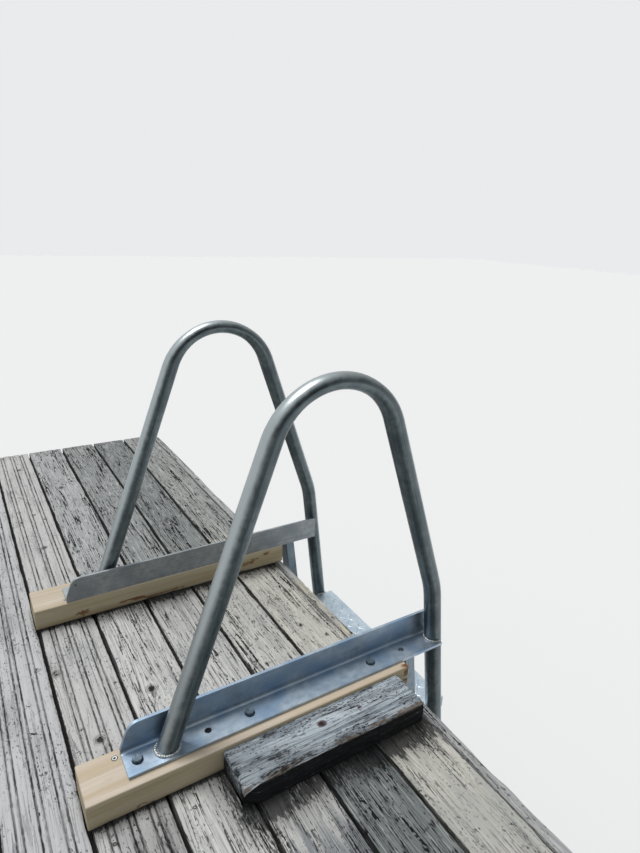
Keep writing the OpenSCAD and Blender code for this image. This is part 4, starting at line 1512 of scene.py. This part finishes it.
def makeNicks():
    outline = nicks["outline"]
    count = len(outline)
    faces = [(i, (i + 1) % count, (i + 1) % count + count, i + count) for i in range(count)]
    faces += [tuple(reversed(range(count))), tuple(range(count, 2 * count))]
    mesh = newMesh("nick", [(x, y, z) for z in (-0.1, 0.1) for x, y in outline], faces)
    chance = np.random.default_rng(23)
    seen, scattered, onBracket = nicks["thickness"]
    across, along = nicks["margins"]
    rows = [((x, y, deckTop), (0, 0, math.radians(turn)), (size / 2000, size / 2600, seen))
            for x, y, turn, size in nicks["seen"]]
    for i in range(nicks["scatter"]):
        low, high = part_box(f"deck_board_{chance.integers(1, 13):02d}")
        x, y = chance.uniform(low.x + across, high.x - across), chance.uniform(along, jettyEnd - along)
        size = chance.uniform(*nicks["scatterSizes"])
        turn, share = chance.uniform(0, 6.3), chance.uniform(0.5, 0.9)
        rows.append(((x, y, deckTop), (0, 0, turn), (size, size * share, scattered)))
    for x, z, turn, size in nicks["onBracket"]:
        rows.append(((side + x, ladderY + heel, deckTop + z), (math.pi / 2, math.radians(turn), 0),
                     (size / 2000, size / 2600, onBracket)))
    placeCopies("nicks", bpy.data.objects.new("nick", mesh), rows, fleckMaterial)


makeNicks()
print("bolts, screws, welds, tread marks and nicks")

view = {
    "place": (0.0435, 3.4716, 1.0108),
    "yaw": 32.473,           # degrees from +Y towards +X
    "pitch": 18.887,         # degrees below the level
    "roll": 2.405,
    "focalPixels": 596.42,
    "imageWidth": 640,
    "sensorWidth": 36.0,
    "sight": 200,            # metres
}


def makeCamera():
    yaw, pitch, roll = (math.radians(view[key]) for key in ("yaw", "pitch", "roll"))
    forward = Vector((math.sin(yaw) * math.cos(pitch), math.cos(yaw) * math.cos(pitch), -math.sin(pitch)))
    levelRight = forward.cross(Vector((0, 0, 1))).normalized()
    levelUp = levelRight.cross(forward)
    right = levelRight * math.cos(roll) + levelUp * math.sin(roll)
    up = levelUp * math.cos(roll) - levelRight * math.sin(roll)
    data = bpy.data.cameras.new("camera")
    data.sensor_fit = "HORIZONTAL"
    data.sensor_width = view["sensorWidth"]
    data.lens = view["sensorWidth"] * view["focalPixels"] / view["imageWidth"]
    data.clip_end = view["sight"]
    camera = newObject("camera", data)
    camera.matrix_world = Matrix((right, up, -forward)).transposed().to_4x4()
    camera.location = view["place"]
    bpy.context.scene.camera = camera


studio = {
    "sky": (0.12, 0.66),      # strength at the level and overhead
    "evenFrom": 0.8,          # the sky grows no brighter above this height, with 1 straight overhead
    "background": "#e9ebec",
    "keyStrength": 1.9,
    "keyAngle": 24,           # degrees across: a broad, soft source
    "keyFrom": (-0.30, 0.52, 1.45),
    # Only shining surfaces show these: a dark soft screen behind the camera and a weaker one at its right.
    # The way towards each, where it begins and ends, and the share of light that it takes.
    "screens": [(Vector((-0.15, -0.98, -0.05)).normalized(), 0.35, 0.95, 0.88),
                ((0.844, -0.537, 0.0), -0.3, 0.7, 0.5)],
    "floor": "#e4e5e5",
    "floorHalf": 40,
}


def makeSky():
    world = bpy.data.worlds.new("studio sky")
    world.use_nodes = True
    tree = world.node_tree
    way = add(tree, "ShaderNodeTexCoord").outputs["Generated"]
    height = add(tree, "ShaderNodeSeparateXYZ", way).outputs["Z"]
    low, high = studio["sky"]
    strength = add(tree, "ShaderNodeMapRange", {
        "Value": height, "From Max": studio["evenFrom"], "To Min": low, "To Max": high})
    sky = tree.nodes["Background"]
    feed(tree, sky, {"Color": (1, 1, 1, 1), "Strength": strength})
    rows = []
    for towards, start, stop, share in studio["screens"]:
        facing = add(tree, "ShaderNodeVectorMath", way, towards, operation="DOT_PRODUCT")
        rows.append((facing, stop, start, 1 - share))
    colour = linear(studio["background"])
    screened = add(tree, "ShaderNodeBackground", {"Color": colour, "Strength": stepMask(tree, *rows)})
    seen = add(tree, "ShaderNodeBackground", {"Color": colour, "Strength": 1.0})
    path = add(tree, "ShaderNodeLightPath").outputs
    shown = add(tree, "ShaderNodeMath", path["Is Glossy Ray"], path["Is Transmission Ray"], operation="ADD")
    mixed = add(tree, "ShaderNodeMixShader", shown, sky, screened)
    mixed = add(tree, "ShaderNodeMixShader", path["Is Camera Ray"], mixed, seen)
    feed(tree, tree.nodes["World Output"], {"Surface": mixed})
    bpy.context.scene.world = world


def makeStudio():
    makeSky()
    key = bpy.data.lights.new("key", "SUN")
    key.energy = studio["keyStrength"]
    key.angle = math.radians(studio["keyAngle"])
    newObject("key", key).rotation_euler = Vector(studio["keyFrom"]).to_track_quat("Z", "Y").to_euler()
    half = studio["floorHalf"]
    corners = [(x * half, jettyEnd / 2 + y * half, bed) for x, y in ((-1, -1), (1, -1), (1, 1), (-1, 1))]
    floor = newObject("studio_floor", newMesh("studio_floor", corners, [(0, 1, 2, 3)]))
    # Without any shine, so that it stays one even pale tone
    material, tree, shader = newMaterial("matt pale studio floor")
    feed(tree, shader, {"Base Color": linear(studio["floor"]), "Roughness": 1.0, "Specular IOR Level": 0.0})
    floor.data.materials.append(material)


makeCamera()
makeStudio()
bpy.context.scene.view_settings.view_transform = "Standard"
print("done")
